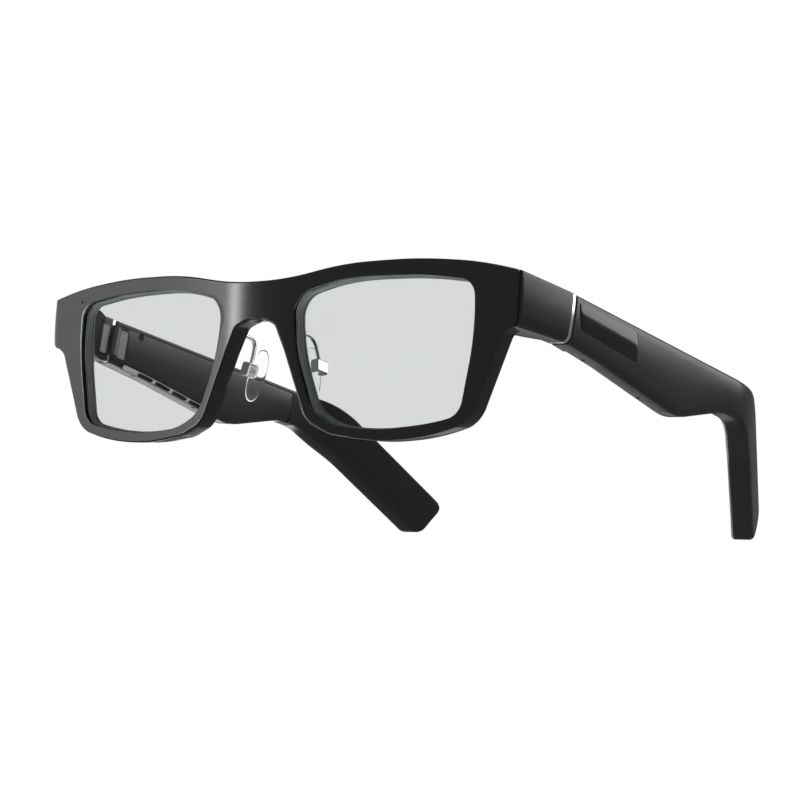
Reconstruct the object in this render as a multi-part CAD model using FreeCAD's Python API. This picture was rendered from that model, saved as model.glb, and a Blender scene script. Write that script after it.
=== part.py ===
import FreeCAD, Part
import math
import os

# Smart glasses with a plastic front, waveguide displays and two folding electronic temples.
# Millimetres.  The parts are drawn with the temples level: +X is the wearer's left, +Y runs
# back towards the ears, +Z is up, and z = 0 is the top of the temples.  At the end the whole
# object is pitched so that the rims and the temple tips rest on one plane, and the origin is
# moved to the middle of the bottom of its box.

# ---- front: sizes in the plane of the front, which leans back by FRONT_TILT ----
FRONT_TILT = 9.6
FRONT_WRAP = 3.3
WRAP_RADIUS = 180.0
FRONT_SETBACK = 0.6
FRONT_DEPTH = 5.0
FACE_PLATE = 1.5
RIM_WALL = 0.9
LENS_WIDTH = 52.1
LENS_HEIGHT = 35.85
LENS_TOP = -0.35
NOSE_HALF_GAP = 11.2
ENDPIECE_WIDTH = 11.1
ENDPIECE_HEIGHT = 12.6
CROWN_RISE = 3.5
ARCH_TOP = -9.45
ARCH_HALF_WIDTH = 6.0
RIM_BOTTOM = 2.55

# ---- lens stack: depths are behind the front face ----
COVER_LENS_DEPTH = 0.6
COVER_LENS_THICK = 0.9
LENS_SEAT = 0.7
GASKET_THICK = 0.4
GASKET_WIDTH = 0.5
WAVEGUIDE_THICK = 1.0
WAVEGUIDE_SEAT = 0.6
REAR_LENS_THICK = 1.0
REAR_LENS_SEAT = 0.5
REAR_LENS_INSET = 0.2
TAB_REACH = 8.5
TAB_HEIGHT = 8.0
TAB_TOP = -3.6
FIT_GAP = 0.05

# ---- side blocks, trim rings and hinges ----
BLOCK_FLARE = 2.4
BLOCK_LENGTH = 17.5
BLOCK_BULGE = 0.4
BLOCK_EDGE = 0.9
BLOCK_BOTTOM_DROP = 0.9
BLOCK_INNER_REACH = 2.4
RING_THICK = 1.1
RING_WALL = 1.2
HINGE_GAP = 0.5
TEMPLE_THICK = 6.1
TEMPLE_FRONT_HEIGHT = 11.6
HINGE_INSET = 0.2
HINGE_RADIUS = 1.45
HINGE_SWING = 1.85
HINGE_TOP = -2.2
KNUCKLE_HEIGHT = 2.5
KNUCKLE_GAP = 0.05
PIN_RADIUS = 0.6
PIN_CLEARANCE = 0.04
LEAF_THICK = 1.0
FRONT_LEAF_LENGTH = 4.6
TEMPLE_LEAF_LENGTH = 4.8
LEAF_NECK = 2.1

# ---- light engine bay ----
ENGINE_SIZE = (5.0, 5.0, 7.6)
ENGINE_X_OFFSET = 5.6
ENGINE_TOP = -2.4
ENGINE_BARREL_RADIUS = 1.9
ENGINE_BARREL_LENGTH = 1.6
ENGINE_GAP = 0.15

# ---- temples ----
EAR_BEND_LENGTH = 80.65
TIP_LENGTH = 42.7
TIP_HEIGHT = 11.8
TIP_DROP = 32.9
TIP_TURN = 23.6
TIP_INNER_LEAD = 2.4
BELLY_DEPTH = 16.4
BELLY_LEAD = 31.7
WAIST_DEPTH = 9.75
CASE_WALL = 1.3
COVER_THICK = 1.2
COVER_TOP_MARGIN = 0.9
COVER_START = 4.85
COVER_END = 8.0
BAY_START = 6.5
BAY_END = 13.0
LOWER_EDGE_ROUND = 2.2
UPPER_EDGE_ROUND = 0.6
TEMPLE_EDGE_ROUND = 1.8
INNER_EDGE = 1.2
SLOT_COUNT = 4
SLOT_PITCH = 6.9
SLOT_LENGTH = 5.9
SLOT_WIDTH = 1.3
SLOT_START = 12.0
SLOT_DEPTH = 2.6
SLOT_LINE_LIFT = 0.15
MESH_WIDTH = 1.5
TOUCH_START = 1.3
TOUCH_LENGTH = 24.3
TOUCH_TOP = -1.5
TOUCH_HEIGHT = 6.4
TOUCH_DEPTH = 0.5
TOUCH_THICK = 0.4
BATTERY_SIZE = (2.4, 20.0, 9.0)
BATTERY_START = 41.5
SPEAKER_SIZE = (2.4, 13.0, 6.0)
SPEAKER_START = 16.0
BOARD_THICK = 0.8
BOARD_LENGTH = 52.0
BOARD_HEIGHT = 7.4
BOARD_START = 9.0
MESH_THICK = 0.15
CORE_WIDTH = 3.0
CORE_THICK = 1.2
CORE_LENGTH = 30.0
CONTACT_RADIUS = 0.75
CONTACT_PITCH = 3.0
CONTACT_START = 62.0
CONTACT_DEPTH = 0.8
SENSOR_RADIUS = 0.95
SENSOR_START = 9.65
SENSOR_DROP = 2.0
SENSOR_DEPTH = 0.8
PORT_RADIUS = 0.45
PORT_DEPTH = 0.9
PORT_INSET = 0.9
PORT_STARTS = (10.85, 35.35)

# ---- nose pads ----
PAD_BOX = (2.4, 3.4, 3.3)
PAD_BOX_CENTRE = (11.4, 15.1, -17.9)
PAD_SPLAY = 11.0
PAD_WIDTH = 5.4
PAD_LENGTH = 13.2
PAD_THICK = 1.5
PAD_OFFSET = 0.55
PAD_DROP = 0.9
PAD_BACK = 0.6
PAD_STUB = (1.55, 1.7, 2.2)
PAD_STUB_GAP = 0.2
PAD_PIN_RADIUS = 0.3
PAD_PIN_DEPTH = 1.25
ARM_RADIUS = 0.5
ARM_FOOT = (9.3, 7.2, -11.1)
ARM_TOP = (9.4, 13.9, -10.4)
ARM_BEND_RADIUS = 1.6

# ---- small front parts ----
MIC_X_OFFSET = 0.2
MIC_Z = -1.9
MIC_HOLE_RADIUS = 0.4
MIC_SIZE = (2.2, 1.0, 1.6)
SCREW_RADIUS = 0.5
SCREW_HEAD_RADIUS = 1.05
SCREW_HEAD_HEIGHT = 0.6
SCREW_CLEARANCE = 0.05
SCREW_TIP_DEPTH = 0.75
FLEX_WIDTH = 1.0
BRIDGE_FLEX_TOP = -1.6
FLEX_THICK = 0.3
CLIP_SLOT = (5.0, 1.4, 2.0)

V = FreeCAD.Vector
FAR = 100.0

# Places that follow from the sizes above.
lens_outer_x = NOSE_HALF_GAP + LENS_WIDTH
lens_bottom = LENS_TOP - LENS_HEIGHT
front_half = lens_outer_x + ENDPIECE_WIDTH
temple_outer_x = front_half + BLOCK_FLARE
temple_inner_x = temple_outer_x - TEMPLE_THICK
wrap_slope = math.tan(math.radians(FRONT_WRAP))
wrap_corner = WRAP_RADIUS * (1.0 / math.cos(math.radians(FRONT_WRAP)) - 1.0)
block_front_y = FRONT_SETBACK + front_half * wrap_slope - wrap_corner
ring_y = block_front_y + BLOCK_LENGTH + BLOCK_EDGE
ring_back_y = ring_y + RING_THICK
temple_front_y = ring_back_y + HINGE_GAP
hinge_x = temple_inner_x - HINGE_INSET
hinge_y = ring_back_y + HINGE_GAP / 2.0
bend_y = temple_front_y + EAR_BEND_LENGTH


# ---- drawing helpers ----

def spot(plane, a, b):
    """A point of a flat outline, in the plane named by its two axes."""
    if plane == "xy":
        return V(a, b, 0)
    if plane == "xz":
        return V(a, 0, b)
    return V(0, a, b)


def corner_runs(points, radii):
    """How far each corner's arc reaches along its sides, shortened where two arcs would meet."""
    count = len(points)
    runs = []
    for index in range(count):
        back = (points[index - 1] - points[index]).normalize()
        forth = (points[(index + 1) % count] - points[index]).normalize()
        half_angle = back.getAngle(forth) / 2.0
        straight = half_angle > math.pi / 2.0 - 1e-4
        runs.append(0.0 if radii[index] <= 0.0 or straight else radii[index] / math.tan(half_angle))
    limits = []
    for index in range(count):
        following = (index + 1) % count
        length = points[index].distanceToPoint(points[following])
        limits.append(min(1.0, length / max(runs[index] + runs[following], 1e-9)))
    return [runs[index] * min(limits[index], limits[index - 1]) for index in range(count)]


def rounded_face(plane, corners):
    """A face from corners (a, b) or (a, b, radius); each radius becomes a tangent arc."""
    count = len(corners)
    points = [spot(plane, corner[0], corner[1]) for corner in corners]
    runs = corner_runs(points, [corner[2] if len(corner) > 2 else 0.0 for corner in corners])
    edges = []
    last = points[-1]
    for index in range(count):
        here = points[index]
        back = (points[index - 1] - here).normalize()
        forth = (points[(index + 1) % count] - here).normalize()
        start = here + back * runs[index]
        end = here + forth * runs[index]
        if index == 0:
            first = start
        elif last.distanceToPoint(start) > 1e-6:
            edges.append(Part.LineSegment(last, start).toShape())
        if runs[index] > 0.0:
            half_angle = back.getAngle(forth) / 2.0
            radius = runs[index] * math.tan(half_angle)
            inward = (back + forth).normalize()
            middle = here + inward * (radius / math.sin(half_angle) - radius)
            edges.append(Part.Arc(start, middle, end).toShape())
        last = end
    if last.distanceToPoint(first) > 1e-6:
        edges.append(Part.LineSegment(last, first).toShape())
    return Part.Face(Part.Wire(edges))


def prism(plane, corners, low, high):
    """The rounded outline carried from low to high along the third axis."""
    face = rounded_face(plane, corners)
    direction = {"xy": V(0, 0, 1), "xz": V(0, 1, 0), "yz": V(1, 0, 0)}[plane]
    face.translate(direction * low)
    return face.extrude(direction * (high - low))


def grown(corners, distance):
    """The outline moved outwards by distance, its radii changed to stay parallel."""
    count = len(corners)
    area = 0.0
    for index in range(count):
        first = corners[index - 1]
        second = corners[index]
        area += first[0] * second[1] - second[0] * first[1]
    turn = 1.0 if area > 0 else -1.0
    result = []
    for index in range(count):
        before = corners[index - 1]
        here = corners[index]
        after = corners[(index + 1) % count]
        first = V(here[0] - before[0], here[1] - before[1], 0).normalize()
        second = V(after[0] - here[0], after[1] - here[1], 0).normalize()
        normal_1 = V(first.y, -first.x, 0) * turn
        normal_2 = V(second.y, -second.x, 0) * turn
        shift = (normal_1 + normal_2) * (distance / (1.0 + normal_1.dot(normal_2)))
        convex = first.cross(second).z * turn > 0
        radius = here[2] if len(here) > 2 else 0.0
        if radius > 0.0:
            radius = max(radius + (distance if convex else -distance), 0.15)
        result.append((here[0] + shift.x, here[1] + shift.y, radius))
    return result


def box(low_x, high_x, low_y, high_y, low_z, high_z):
    """A block between two corners."""
    return Part.makeBox(high_x - low_x, high_y - low_y, high_z - low_z, V(low_x, low_y, low_z))


def rounded_box(size, centre, radius):
    """A block about a centre with its four edges along Y rounded."""
    half_x = size[0] / 2.0
    half_z = size[2] / 2.0
    corners = [(-half_x, -half_z, radius), (half_x, -half_z, radius),
               (half_x, half_z, radius), (-half_x, half_z, radius)]
    block = prism("xz", corners, -size[1] / 2.0, size[1] / 2.0)
    block.translate(V(*centre))
    return block


def mirrored(shape):
    """The same piece on the wearer's other side."""
    return shape.mirror(V(0, 0, 0), V(1, 0, 0))


def solid(shape):
    """The single solid of a boolean result."""
    shape = shape.removeSplitter()
    return max(shape.Solids, key=lambda piece: piece.Volume)


def softened(shape, radius, wanted):
    """The shape with the edges that wanted() picks rounded."""
    return shape.makeFillet(radius, [edge for edge in shape.Edges if wanted(edge)])


# ---- the wrapped front ----

def wrap_slab(near, far):
    """The space between two depths behind the wrapped front face, in the front's own frame."""
    rise = FAR * wrap_slope - wrap_corner
    corners = [(-FAR, rise + near), (0.0, near - wrap_corner, WRAP_RADIUS), (FAR, rise + near),
               (FAR, rise + far), (0.0, far - wrap_corner, WRAP_RADIUS), (-FAR, rise + far)]
    return prism("xy", corners, -FAR, FAR)


def leaned(shape):
    """A piece of the front, turned from the front's own frame to the level frame."""
    result = shape.copy()
    result.rotate(V(0, 0, 0), V(1, 0, 0), FRONT_TILT)
    result.translate(V(0, FRONT_SETBACK, 0))
    return result


def wrapped(corners, near, far):
    """An outline in the front's plane, given thickness between two depths and leaned."""
    return leaned(prism("xz", corners, -FAR, FAR).common(wrap_slab(near, far)))


def lens_outline():
    """The left lens opening, counted from its nose edge, temple edge, top and bottom."""
    nose = NOSE_HALF_GAP
    side = lens_outer_x
    top = LENS_TOP
    low = lens_bottom
    return [
        (nose, top - 3.75, 5.5), (nose + 0.246 * LENS_WIDTH, top - 0.55, 40.0),
        (nose + 0.418 * LENS_WIDTH, top, 60.0), (side - 0.29 * LENS_WIDTH, top - 0.25, 80.0), (side - 0.7, top - 2.25, 4.5), (side, top - 13.65, 40.0),
        (side - 3.5, low + 3.3, 5.0), (side - 0.236 * LENS_WIDTH, low + 1.2, 40.0),
        (nose + 0.495 * LENS_WIDTH, low, 50.0), (nose + 0.265 * LENS_WIDTH, low + 1.2, 14.0), (nose + 6.7, low + 4.9, 5.0), (nose + 1.2, top - 17.15, 30.0),
    ]


def rim_outline():
    """Sides, rims and nose arch of the front; its top is trimmed level afterwards."""
    nose = NOSE_HALF_GAP
    side = lens_outer_x
    low = lens_bottom
    half = [
        (front_half, 12.0), (front_half - 0.55, -ENDPIECE_HEIGHT, 2.2),
        (side + 6.9, -ENDPIECE_HEIGHT - 2.3, 3.0), (side - 1.1, low + 1.6, 8.0),
        (side - 0.236 * LENS_WIDTH, low + 1.0 - RIM_BOTTOM, 60.0),
        (nose + 0.495 * LENS_WIDTH, low - RIM_BOTTOM, 60.0), (nose + 0.236 * LENS_WIDTH, low - 0.7, 12.0), (nose + 5.3, low + 2.3, 7.0), (nose - 1.9, ARCH_TOP - 7.75, 20.0),
        (ARCH_HALF_WIDTH, ARCH_TOP - 1.35, 2.2), (ARCH_HALF_WIDTH - 3.4, ARCH_TOP, 6.0),
    ]
    other = [(-corner[0],) + corner[1:] for corner in reversed(half)]
    return half + other


def top_outline():
    """The front's top line in the level frame, closed far below."""
    nose = NOSE_HALF_GAP
    side = lens_outer_x
    half = [
        (8.0, 0.0, 60.0), (nose + 0.294 * LENS_WIDTH, CROWN_RISE - 0.25, 60.0),
        (side - 0.313 * LENS_WIDTH, CROWN_RISE + 0.2, 100.0),
        (side + 0.7, CROWN_RISE - 1.25, 100.0), (front_half, 0.0, 0.8), (front_half, -FAR),
    ]
    other = [(-corner[0],) + corner[1:] for corner in reversed(half)]
    return other + half


def level_top(shape):
    """A leaned piece of the front, trimmed to the front's level top line."""
    return shape.common(prism("xz", top_outline(), -FAR, FAR))


def both(left_shape):
    """A left piece and its mirror image."""
    return [left_shape, mirrored(left_shape)]


# ---- side blocks ----

def block_plan(inset):
    """The left block seen from above, its outer side moved in by inset."""
    start = (front_half - inset, block_front_y - 4.0)
    middle = ((front_half + temple_outer_x) / 2.0 + BLOCK_BULGE - inset, (block_front_y + ring_back_y) / 2.0)
    end = (temple_outer_x - inset, ring_back_y)
    inner_root = lens_outer_x + BLOCK_INNER_REACH
    root_y = block_front_y + FRONT_DEPTH - 1.0
    outer = Part.Arc(V(*start, 0), V(*middle, 0), V(*end, 0)).toShape()
    inner_end = V(temple_inner_x, ring_back_y, 0)
    inner_bend = V(temple_inner_x, ring_back_y - 4.0, 0)
    inner_middle = V(temple_inner_x - 2.9, ring_back_y - 8.6, 0)
    root = V(inner_root, root_y + 1.2, 0)
    corner = V(inner_root, block_front_y - 4.0, 0)
    pieces = [
        outer,
        Part.LineSegment(V(*end, 0), inner_end).toShape(),
        Part.LineSegment(inner_end, inner_bend).toShape(),
        Part.Arc(inner_bend, inner_middle, root).toShape(),
        Part.LineSegment(root, corner).toShape(),
        Part.LineSegment(corner, V(*start, 0)).toShape(),
    ]
    return Part.Face(Part.Wire(pieces))


def block_side(inset):
    """The block's level top and slightly rising underside, seen from the side."""
    drop = TEMPLE_FRONT_HEIGHT + BLOCK_BOTTOM_DROP
    return [(block_front_y - 6.0, -inset), (ring_back_y, -inset),
            (ring_back_y, -TEMPLE_FRONT_HEIGHT + inset), (block_front_y - 6.0, -drop + inset)]


def block_form(inset):
    """The left block as a plain solid, each outside face moved in by inset."""
    plan = block_plan(inset)
    plan.translate(V(0, 0, -FAR))
    body = plan.extrude(V(0, 0, 2.0 * FAR))
    body = body.common(prism("yz", block_side(inset), 0.0, FAR))
    return body.common(leaned(wrap_slab(BLOCK_EDGE + inset, FAR)))


def rounded_block():
    """The left block with its long outside edges rounded."""
    body = solid(block_form(0.0))

    def lower_edge(edge):
        centre = edge.BoundBox.Center
        return edge.Length > 10 and centre.x > front_half - 1 and centre.z < -8

    def upper_edge(edge):
        centre = edge.BoundBox.Center
        return edge.Length > 10 and centre.x > front_half - 1 and centre.z > -2

    body = softened(body, LOWER_EDGE_ROUND, lower_edge)
    return softened(body, UPPER_EDGE_ROUND, upper_edge)


def hinge_column(radius, low, high):
    """A cylinder about the left hinge axis."""
    return Part.makeCylinder(radius, high - low, V(hinge_x, hinge_y, low))


def hinge_clearance():
    """The round space that the knuckles and the hinge screw turn in."""
    return hinge_column(HINGE_SWING, HINGE_TOP - 3 * KNUCKLE_HEIGHT - 0.3, HINGE_TOP + 0.8)


def engine_box(gap):
    """The light engine's body, or the space it needs."""
    low_x = lens_outer_x + ENGINE_X_OFFSET - gap
    low_y = block_front_y + FRONT_DEPTH + 0.9 - gap
    high_z = ENGINE_TOP + gap
    return box(low_x, low_x + ENGINE_SIZE[0] + 2 * gap, low_y, low_y + ENGINE_SIZE[1] + 2 * gap,
               high_z - ENGINE_SIZE[2] - 2 * gap, high_z)


def engine_barrel(radius, extra):
    """The lens barrel that faces the waveguide's tab."""
    centre_x = lens_outer_x + ENGINE_X_OFFSET + ENGINE_BARREL_RADIUS
    start_y = block_front_y + FRONT_DEPTH + 0.9
    start = V(centre_x, start_y, ENGINE_TOP - ENGINE_SIZE[2] / 2.0)
    return Part.makeCylinder(radius, ENGINE_BARREL_LENGTH + extra, start, V(0, -1, 0))


def engine_opening():
    """The bay's mouth on the block's inner side, closed by the engine cover."""
    low_x = lens_outer_x - 2.0
    low_y = block_front_y + FRONT_DEPTH + 0.4
    return box(low_x, lens_outer_x + ENGINE_X_OFFSET + 2.0, low_y, low_y + ENGINE_SIZE[1] + 2.0,
               ENGINE_TOP - ENGINE_SIZE[2] - 0.4, ENGINE_TOP + 0.4)


def front_leaf_pocket(gap):
    """The plate part of the hinge's front leaf, or its pocket."""
    low_z = HINGE_TOP - 3 * KNUCKLE_HEIGHT
    return box(temple_inner_x - gap, temple_inner_x + LEAF_THICK + gap,
               ring_back_y - FRONT_LEAF_LENGTH - gap, hinge_y, low_z - gap, HINGE_TOP + gap)


def clip_slot():
    """The small slot in the underside of the nose arch."""
    low_z = ARCH_TOP - 1.0
    slot = prism("xy", [(-CLIP_SLOT[0] / 2, FRONT_DEPTH / 2 - CLIP_SLOT[1] / 2, 0.65),
                        (CLIP_SLOT[0] / 2, FRONT_DEPTH / 2 - CLIP_SLOT[1] / 2, 0.65),
                        (CLIP_SLOT[0] / 2, FRONT_DEPTH / 2 + CLIP_SLOT[1] / 2, 0.65),
                        (-CLIP_SLOT[0] / 2, FRONT_DEPTH / 2 + CLIP_SLOT[1] / 2, 0.65)],
                 low_z, ARCH_TOP + CLIP_SLOT[2])
    return leaned(slot)


def screw_places():
    """Screw centres in the front's plane: beside the bridge and low on the outer rims."""
    low = [(NOSE_HALF_GAP - 3.0, ARCH_TOP + 3.0), (lens_outer_x + 3.1, -ENDPIECE_HEIGHT - 4.6)]
    return low + [(-x, z) for x, z in low]


def rear_y(x, depth):
    """Depth of the wrapped sheet at x in the front's own frame."""
    return depth + abs(x) * wrap_slope - wrap_corner


def screw(x, z, gap):
    """A countersunk-free pan screw driven from behind, or the hole for it."""
    back = rear_y(x, FRONT_DEPTH)
    tip = rear_y(x, SCREW_TIP_DEPTH) - gap
    shank = Part.makeCylinder(SCREW_RADIUS + gap, back - tip, V(x, tip, z), V(0, 1, 0))
    head = Part.makeCylinder(SCREW_HEAD_RADIUS + gap, SCREW_HEAD_HEIGHT + gap + 0.3 * (gap > 0),
                             V(x, back - SCREW_HEAD_HEIGHT - gap, z), V(0, 1, 0))
    return leaned(shank.fuse(head))


def mic_box(gap):
    """The left microphone behind its port in the face plate, or its pocket."""
    x = lens_outer_x + MIC_X_OFFSET
    centre_y = rear_y(x, FACE_PLATE + 0.1) + MIC_SIZE[1] / 2.0
    size = [value + 2 * gap for value in MIC_SIZE]
    return leaned(rounded_box(size, (x, centre_y, MIC_Z), 0.3))


def mic_port():
    """The microphone's port through the face plate."""
    x = lens_outer_x + MIC_X_OFFSET
    return leaned(Part.makeCylinder(MIC_HOLE_RADIUS, FACE_PLATE + 2.0, V(x, rear_y(x, -1.0), MIC_Z),
                                    V(0, 1, 0)))


def waveguide_tab(gap):
    """Outline of the tab where light enters the waveguide."""
    low = TAB_TOP - TAB_HEIGHT - gap
    return [(lens_outer_x - 4.0, low, 0.5), (lens_outer_x + TAB_REACH + gap, low, 0.5),
            (lens_outer_x + TAB_REACH + gap, TAB_TOP + gap, 0.5), (lens_outer_x - 4.0, TAB_TOP + gap, 0.5)]


def flex_outline(gap):
    """The flat cable along the brow and over the bridge, in the front's plane."""
    nose = NOSE_HALF_GAP
    side = lens_outer_x
    top = LENS_TOP + 0.95
    upper = [(nose + 0.8, BRIDGE_FLEX_TOP, 6.0), (nose + 16.8, top + FLEX_WIDTH, 6.0),
             (side - 6.0, top + FLEX_WIDTH - 0.7)]
    lower = [(side - 6.0, top - 0.7), (nose + 16.8, top, 6.0), (nose + 0.8, BRIDGE_FLEX_TOP - FLEX_WIDTH, 6.0)]
    right = [(-x[0],) + x[1:] for x in reversed(lower)] + [(-x[0],) + x[1:] for x in reversed(upper)]
    return grown(upper + lower + right, gap)


def front_frame():
    """The visible front: face plate, rim walls and both side blocks, hollow from behind."""
    shell = level_top(wrapped(rim_outline(), 0.0, FRONT_DEPTH))
    pocket = level_pocket(FIT_GAP)
    shell = shell.cut(pocket)
    blocks = both(rounded_block())
    for block in blocks:
        shell = shell.fuse(block)
    shell = shell.cut(pocket)
    for side_cut in both(front_side_cuts()):
        shell = shell.cut(side_cut)
    for x, z in screw_places():
        shell = shell.cut(screw(x, z, SCREW_CLEARANCE))
    return solid(shell.cut(clip_slot()))


def level_pocket(gap):
    """The space behind the face plate that the rear frame fills, less gap all round."""
    rims = wrapped(grown(rim_outline(), -RIM_WALL + gap), FACE_PLATE, FRONT_DEPTH + 1.0)
    top = prism("xz", grown(top_outline(), -RIM_WALL + gap), -FAR, FAR)
    return rims.common(top)


def front_side_cuts():
    """Everything cut from the left side of the front frame."""
    cuts = wrapped(lens_outline(), -1.0, COVER_LENS_DEPTH)
    cuts = cuts.fuse(wrapped(grown(lens_outline(), LENS_SEAT), COVER_LENS_DEPTH, FACE_PLATE))
    cuts = cuts.fuse([mic_port(), engine_box(ENGINE_GAP), engine_opening(),
                      engine_barrel(ENGINE_BARREL_RADIUS + ENGINE_GAP, 3.0),
                      front_leaf_pocket(FIT_GAP), ring_band(),
                      hinge_clearance()])
    return cuts


def ring_band():
    """The band at the end of the block that the trim ring takes, its core excluded."""
    zone = box(temple_inner_x - 1.0, FAR, ring_y, ring_back_y + 1.0, -FAR, FAR)
    return zone.cut(block_form(RING_WALL))


def trim_ring():
    """The bright ring round the end of the left block."""
    ring = rounded_block().common(box(temple_inner_x - 1.0, FAR, ring_y, ring_back_y, -FAR, FAR))
    ring = ring.cut(block_form(RING_WALL))
    ring = ring.cut(front_leaf_pocket(FIT_GAP))
    column = hinge_clearance()
    return solid(ring.cut(column))


def rear_frame():
    """The inner frame that closes the front from behind and carries the lens stack."""
    rims = wrapped(grown(rim_outline(), -RIM_WALL), FACE_PLATE, FRONT_DEPTH)
    body = rims.common(prism("xz", grown(top_outline(), -RIM_WALL), -FAR, FAR))
    for side_cut in both(rear_side_cuts()):
        body = body.cut(side_cut)
    body = body.cut(wrapped(flex_outline(0.1), FACE_PLATE, FACE_PLATE + FLEX_THICK + 0.1))
    for x, z in screw_places():
        body = body.cut(screw(x, z, SCREW_CLEARANCE))
    return solid(body.cut(clip_slot()))


def rear_side_cuts():
    """Everything cut from the left side of the rear frame."""
    guide_back = FACE_PLATE + GASKET_THICK + WAVEGUIDE_THICK
    seat = wrapped(grown(lens_outline(), WAVEGUIDE_SEAT), FACE_PLATE - 1.0, guide_back)
    tab = wrapped(waveguide_tab(0.1), FACE_PLATE + GASKET_THICK, guide_back)
    window = wrapped(lens_outline(), FACE_PLATE, FRONT_DEPTH + 1.0)
    rear_seat = wrapped(grown(lens_outline(), REAR_LENS_SEAT),
                        FRONT_DEPTH - REAR_LENS_INSET - REAR_LENS_THICK, FRONT_DEPTH + 1.0)
    arm_hole = pad_arm_wire()
    return seat.fuse([tab, window, rear_seat, mic_box(0.1), engine_box(ENGINE_GAP),
                      engine_barrel(ENGINE_BARREL_RADIUS + ENGINE_GAP, 3.0), arm_hole])


def cover_lens():
    """The clear front lens of the left eye, let into the face plate from behind."""
    return solid(wrapped(grown(lens_outline(), LENS_SEAT - FIT_GAP), COVER_LENS_DEPTH,
                         COVER_LENS_DEPTH + COVER_LENS_THICK))


def lens_gasket():
    """The thin frame of black foam between the cover lens and the waveguide."""
    outer = grown(lens_outline(), WAVEGUIDE_SEAT - FIT_GAP)
    inner = grown(lens_outline(), WAVEGUIDE_SEAT - FIT_GAP - GASKET_WIDTH)
    ring = wrapped(outer, FACE_PLATE, FACE_PLATE + GASKET_THICK)
    return solid(ring.cut(wrapped(inner, FACE_PLATE - 0.5, FACE_PLATE + GASKET_THICK + 0.5)))


def waveguide():
    """The left display waveguide with its light entry tab."""
    near = FACE_PLATE + GASKET_THICK
    plate = wrapped(grown(lens_outline(), WAVEGUIDE_SEAT - FIT_GAP), near, near + WAVEGUIDE_THICK)
    return solid(plate.fuse(wrapped(waveguide_tab(0.0), near, near + WAVEGUIDE_THICK)))


def rear_lens():
    """The inner lens that covers the waveguide on the wearer's side."""
    far = FRONT_DEPTH - REAR_LENS_INSET
    return solid(wrapped(grown(lens_outline(), REAR_LENS_SEAT - FIT_GAP), far - REAR_LENS_THICK, far))


def light_engine():
    """The micro projector in the left block, its barrel against the waveguide's tab."""
    body = engine_box(0.0).fuse(engine_barrel(ENGINE_BARREL_RADIUS, 0.0))
    near = FACE_PLATE + GASKET_THICK + WAVEGUIDE_THICK
    behind = leaned(wrap_slab(near + 0.1, FAR))
    return solid(body.common(behind))


def engine_cover():
    """The cover on the block's inner side, over the light engine."""
    skin = solid(block_form(0.0)).common(engine_opening())
    behind = leaned(wrap_slab(FRONT_DEPTH + 0.05, FAR))
    skin = skin.common(behind)
    skin = skin.cut([engine_box(ENGINE_GAP), engine_barrel(ENGINE_BARREL_RADIUS + ENGINE_GAP, 3.0)])
    return solid(skin)


def microphone():
    """The left front microphone."""
    return solid(mic_box(0.0))


def bridge_flex():
    """The flat cable that joins the two sides through the brow."""
    return solid(wrapped(flex_outline(0.0), FACE_PLATE, FACE_PLATE + FLEX_THICK))


def frame_screws():
    """The four screws that hold the rear frame."""
    return Part.makeCompound([solid(screw(x, z, 0.0)) for x, z in screw_places()])


# ---- hinges ----

def knuckle(index):
    """One hinge knuckle, counted from the top, with the pin's hole through it."""
    high = HINGE_TOP - index * KNUCKLE_HEIGHT - KNUCKLE_GAP
    low = HINGE_TOP - (index + 1) * KNUCKLE_HEIGHT + KNUCKLE_GAP
    return hinge_column(HINGE_RADIUS, low, high)


def pin_hole():
    """The hole for the hinge screw, a running fit."""
    return hinge_column(PIN_RADIUS + PIN_CLEARANCE, HINGE_TOP - 4 * KNUCKLE_HEIGHT, HINGE_TOP + 3.0)


def hinge_front_leaf():
    """The front leaf: a plate in the block's inner side with the two outer knuckles."""
    plate = front_leaf_pocket(0.0)
    middle = hinge_column(HINGE_SWING, HINGE_TOP - 2 * KNUCKLE_HEIGHT - KNUCKLE_GAP,
                          HINGE_TOP - KNUCKLE_HEIGHT + KNUCKLE_GAP)
    leaf = plate.fuse([knuckle(0), knuckle(2)]).cut(middle)
    return solid(leaf.cut(pin_hole()))


def hinge_screw():
    """The screw that serves as the hinge pin, its head above the top knuckle."""
    shank = hinge_column(PIN_RADIUS, HINGE_TOP - 3 * KNUCKLE_HEIGHT, HINGE_TOP)
    head = hinge_column(PIN_RADIUS * 2.0, HINGE_TOP, HINGE_TOP + 0.5)
    slot = box(hinge_x - 2, hinge_x + 2, hinge_y - 0.15, hinge_y + 0.15, HINGE_TOP + 0.25, HINGE_TOP + 1)
    return solid(shank.fuse(head).cut(slot))


def temple_leaf_plate(gap):
    """The plate of the temple leaf with its neck, or its pocket."""
    low = HINGE_TOP - 3 * KNUCKLE_HEIGHT
    plate = box(temple_inner_x - gap, temple_inner_x + LEAF_THICK + gap,
                hinge_y + LEAF_NECK - gap, hinge_y + TEMPLE_LEAF_LENGTH + gap, low - gap, HINGE_TOP + gap)
    neck = box(temple_inner_x - gap, temple_inner_x + LEAF_THICK + gap, hinge_y, hinge_y + LEAF_NECK + 1.0,
               HINGE_TOP - 2 * KNUCKLE_HEIGHT + KNUCKLE_GAP - gap, HINGE_TOP - KNUCKLE_HEIGHT - KNUCKLE_GAP + gap)
    return plate.fuse(neck)


def leaf_screw_places():
    """Height of the two screws of the temple leaf."""
    centre = HINGE_TOP - 1.5 * KNUCKLE_HEIGHT
    return [centre + KNUCKLE_HEIGHT, centre - KNUCKLE_HEIGHT]


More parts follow.
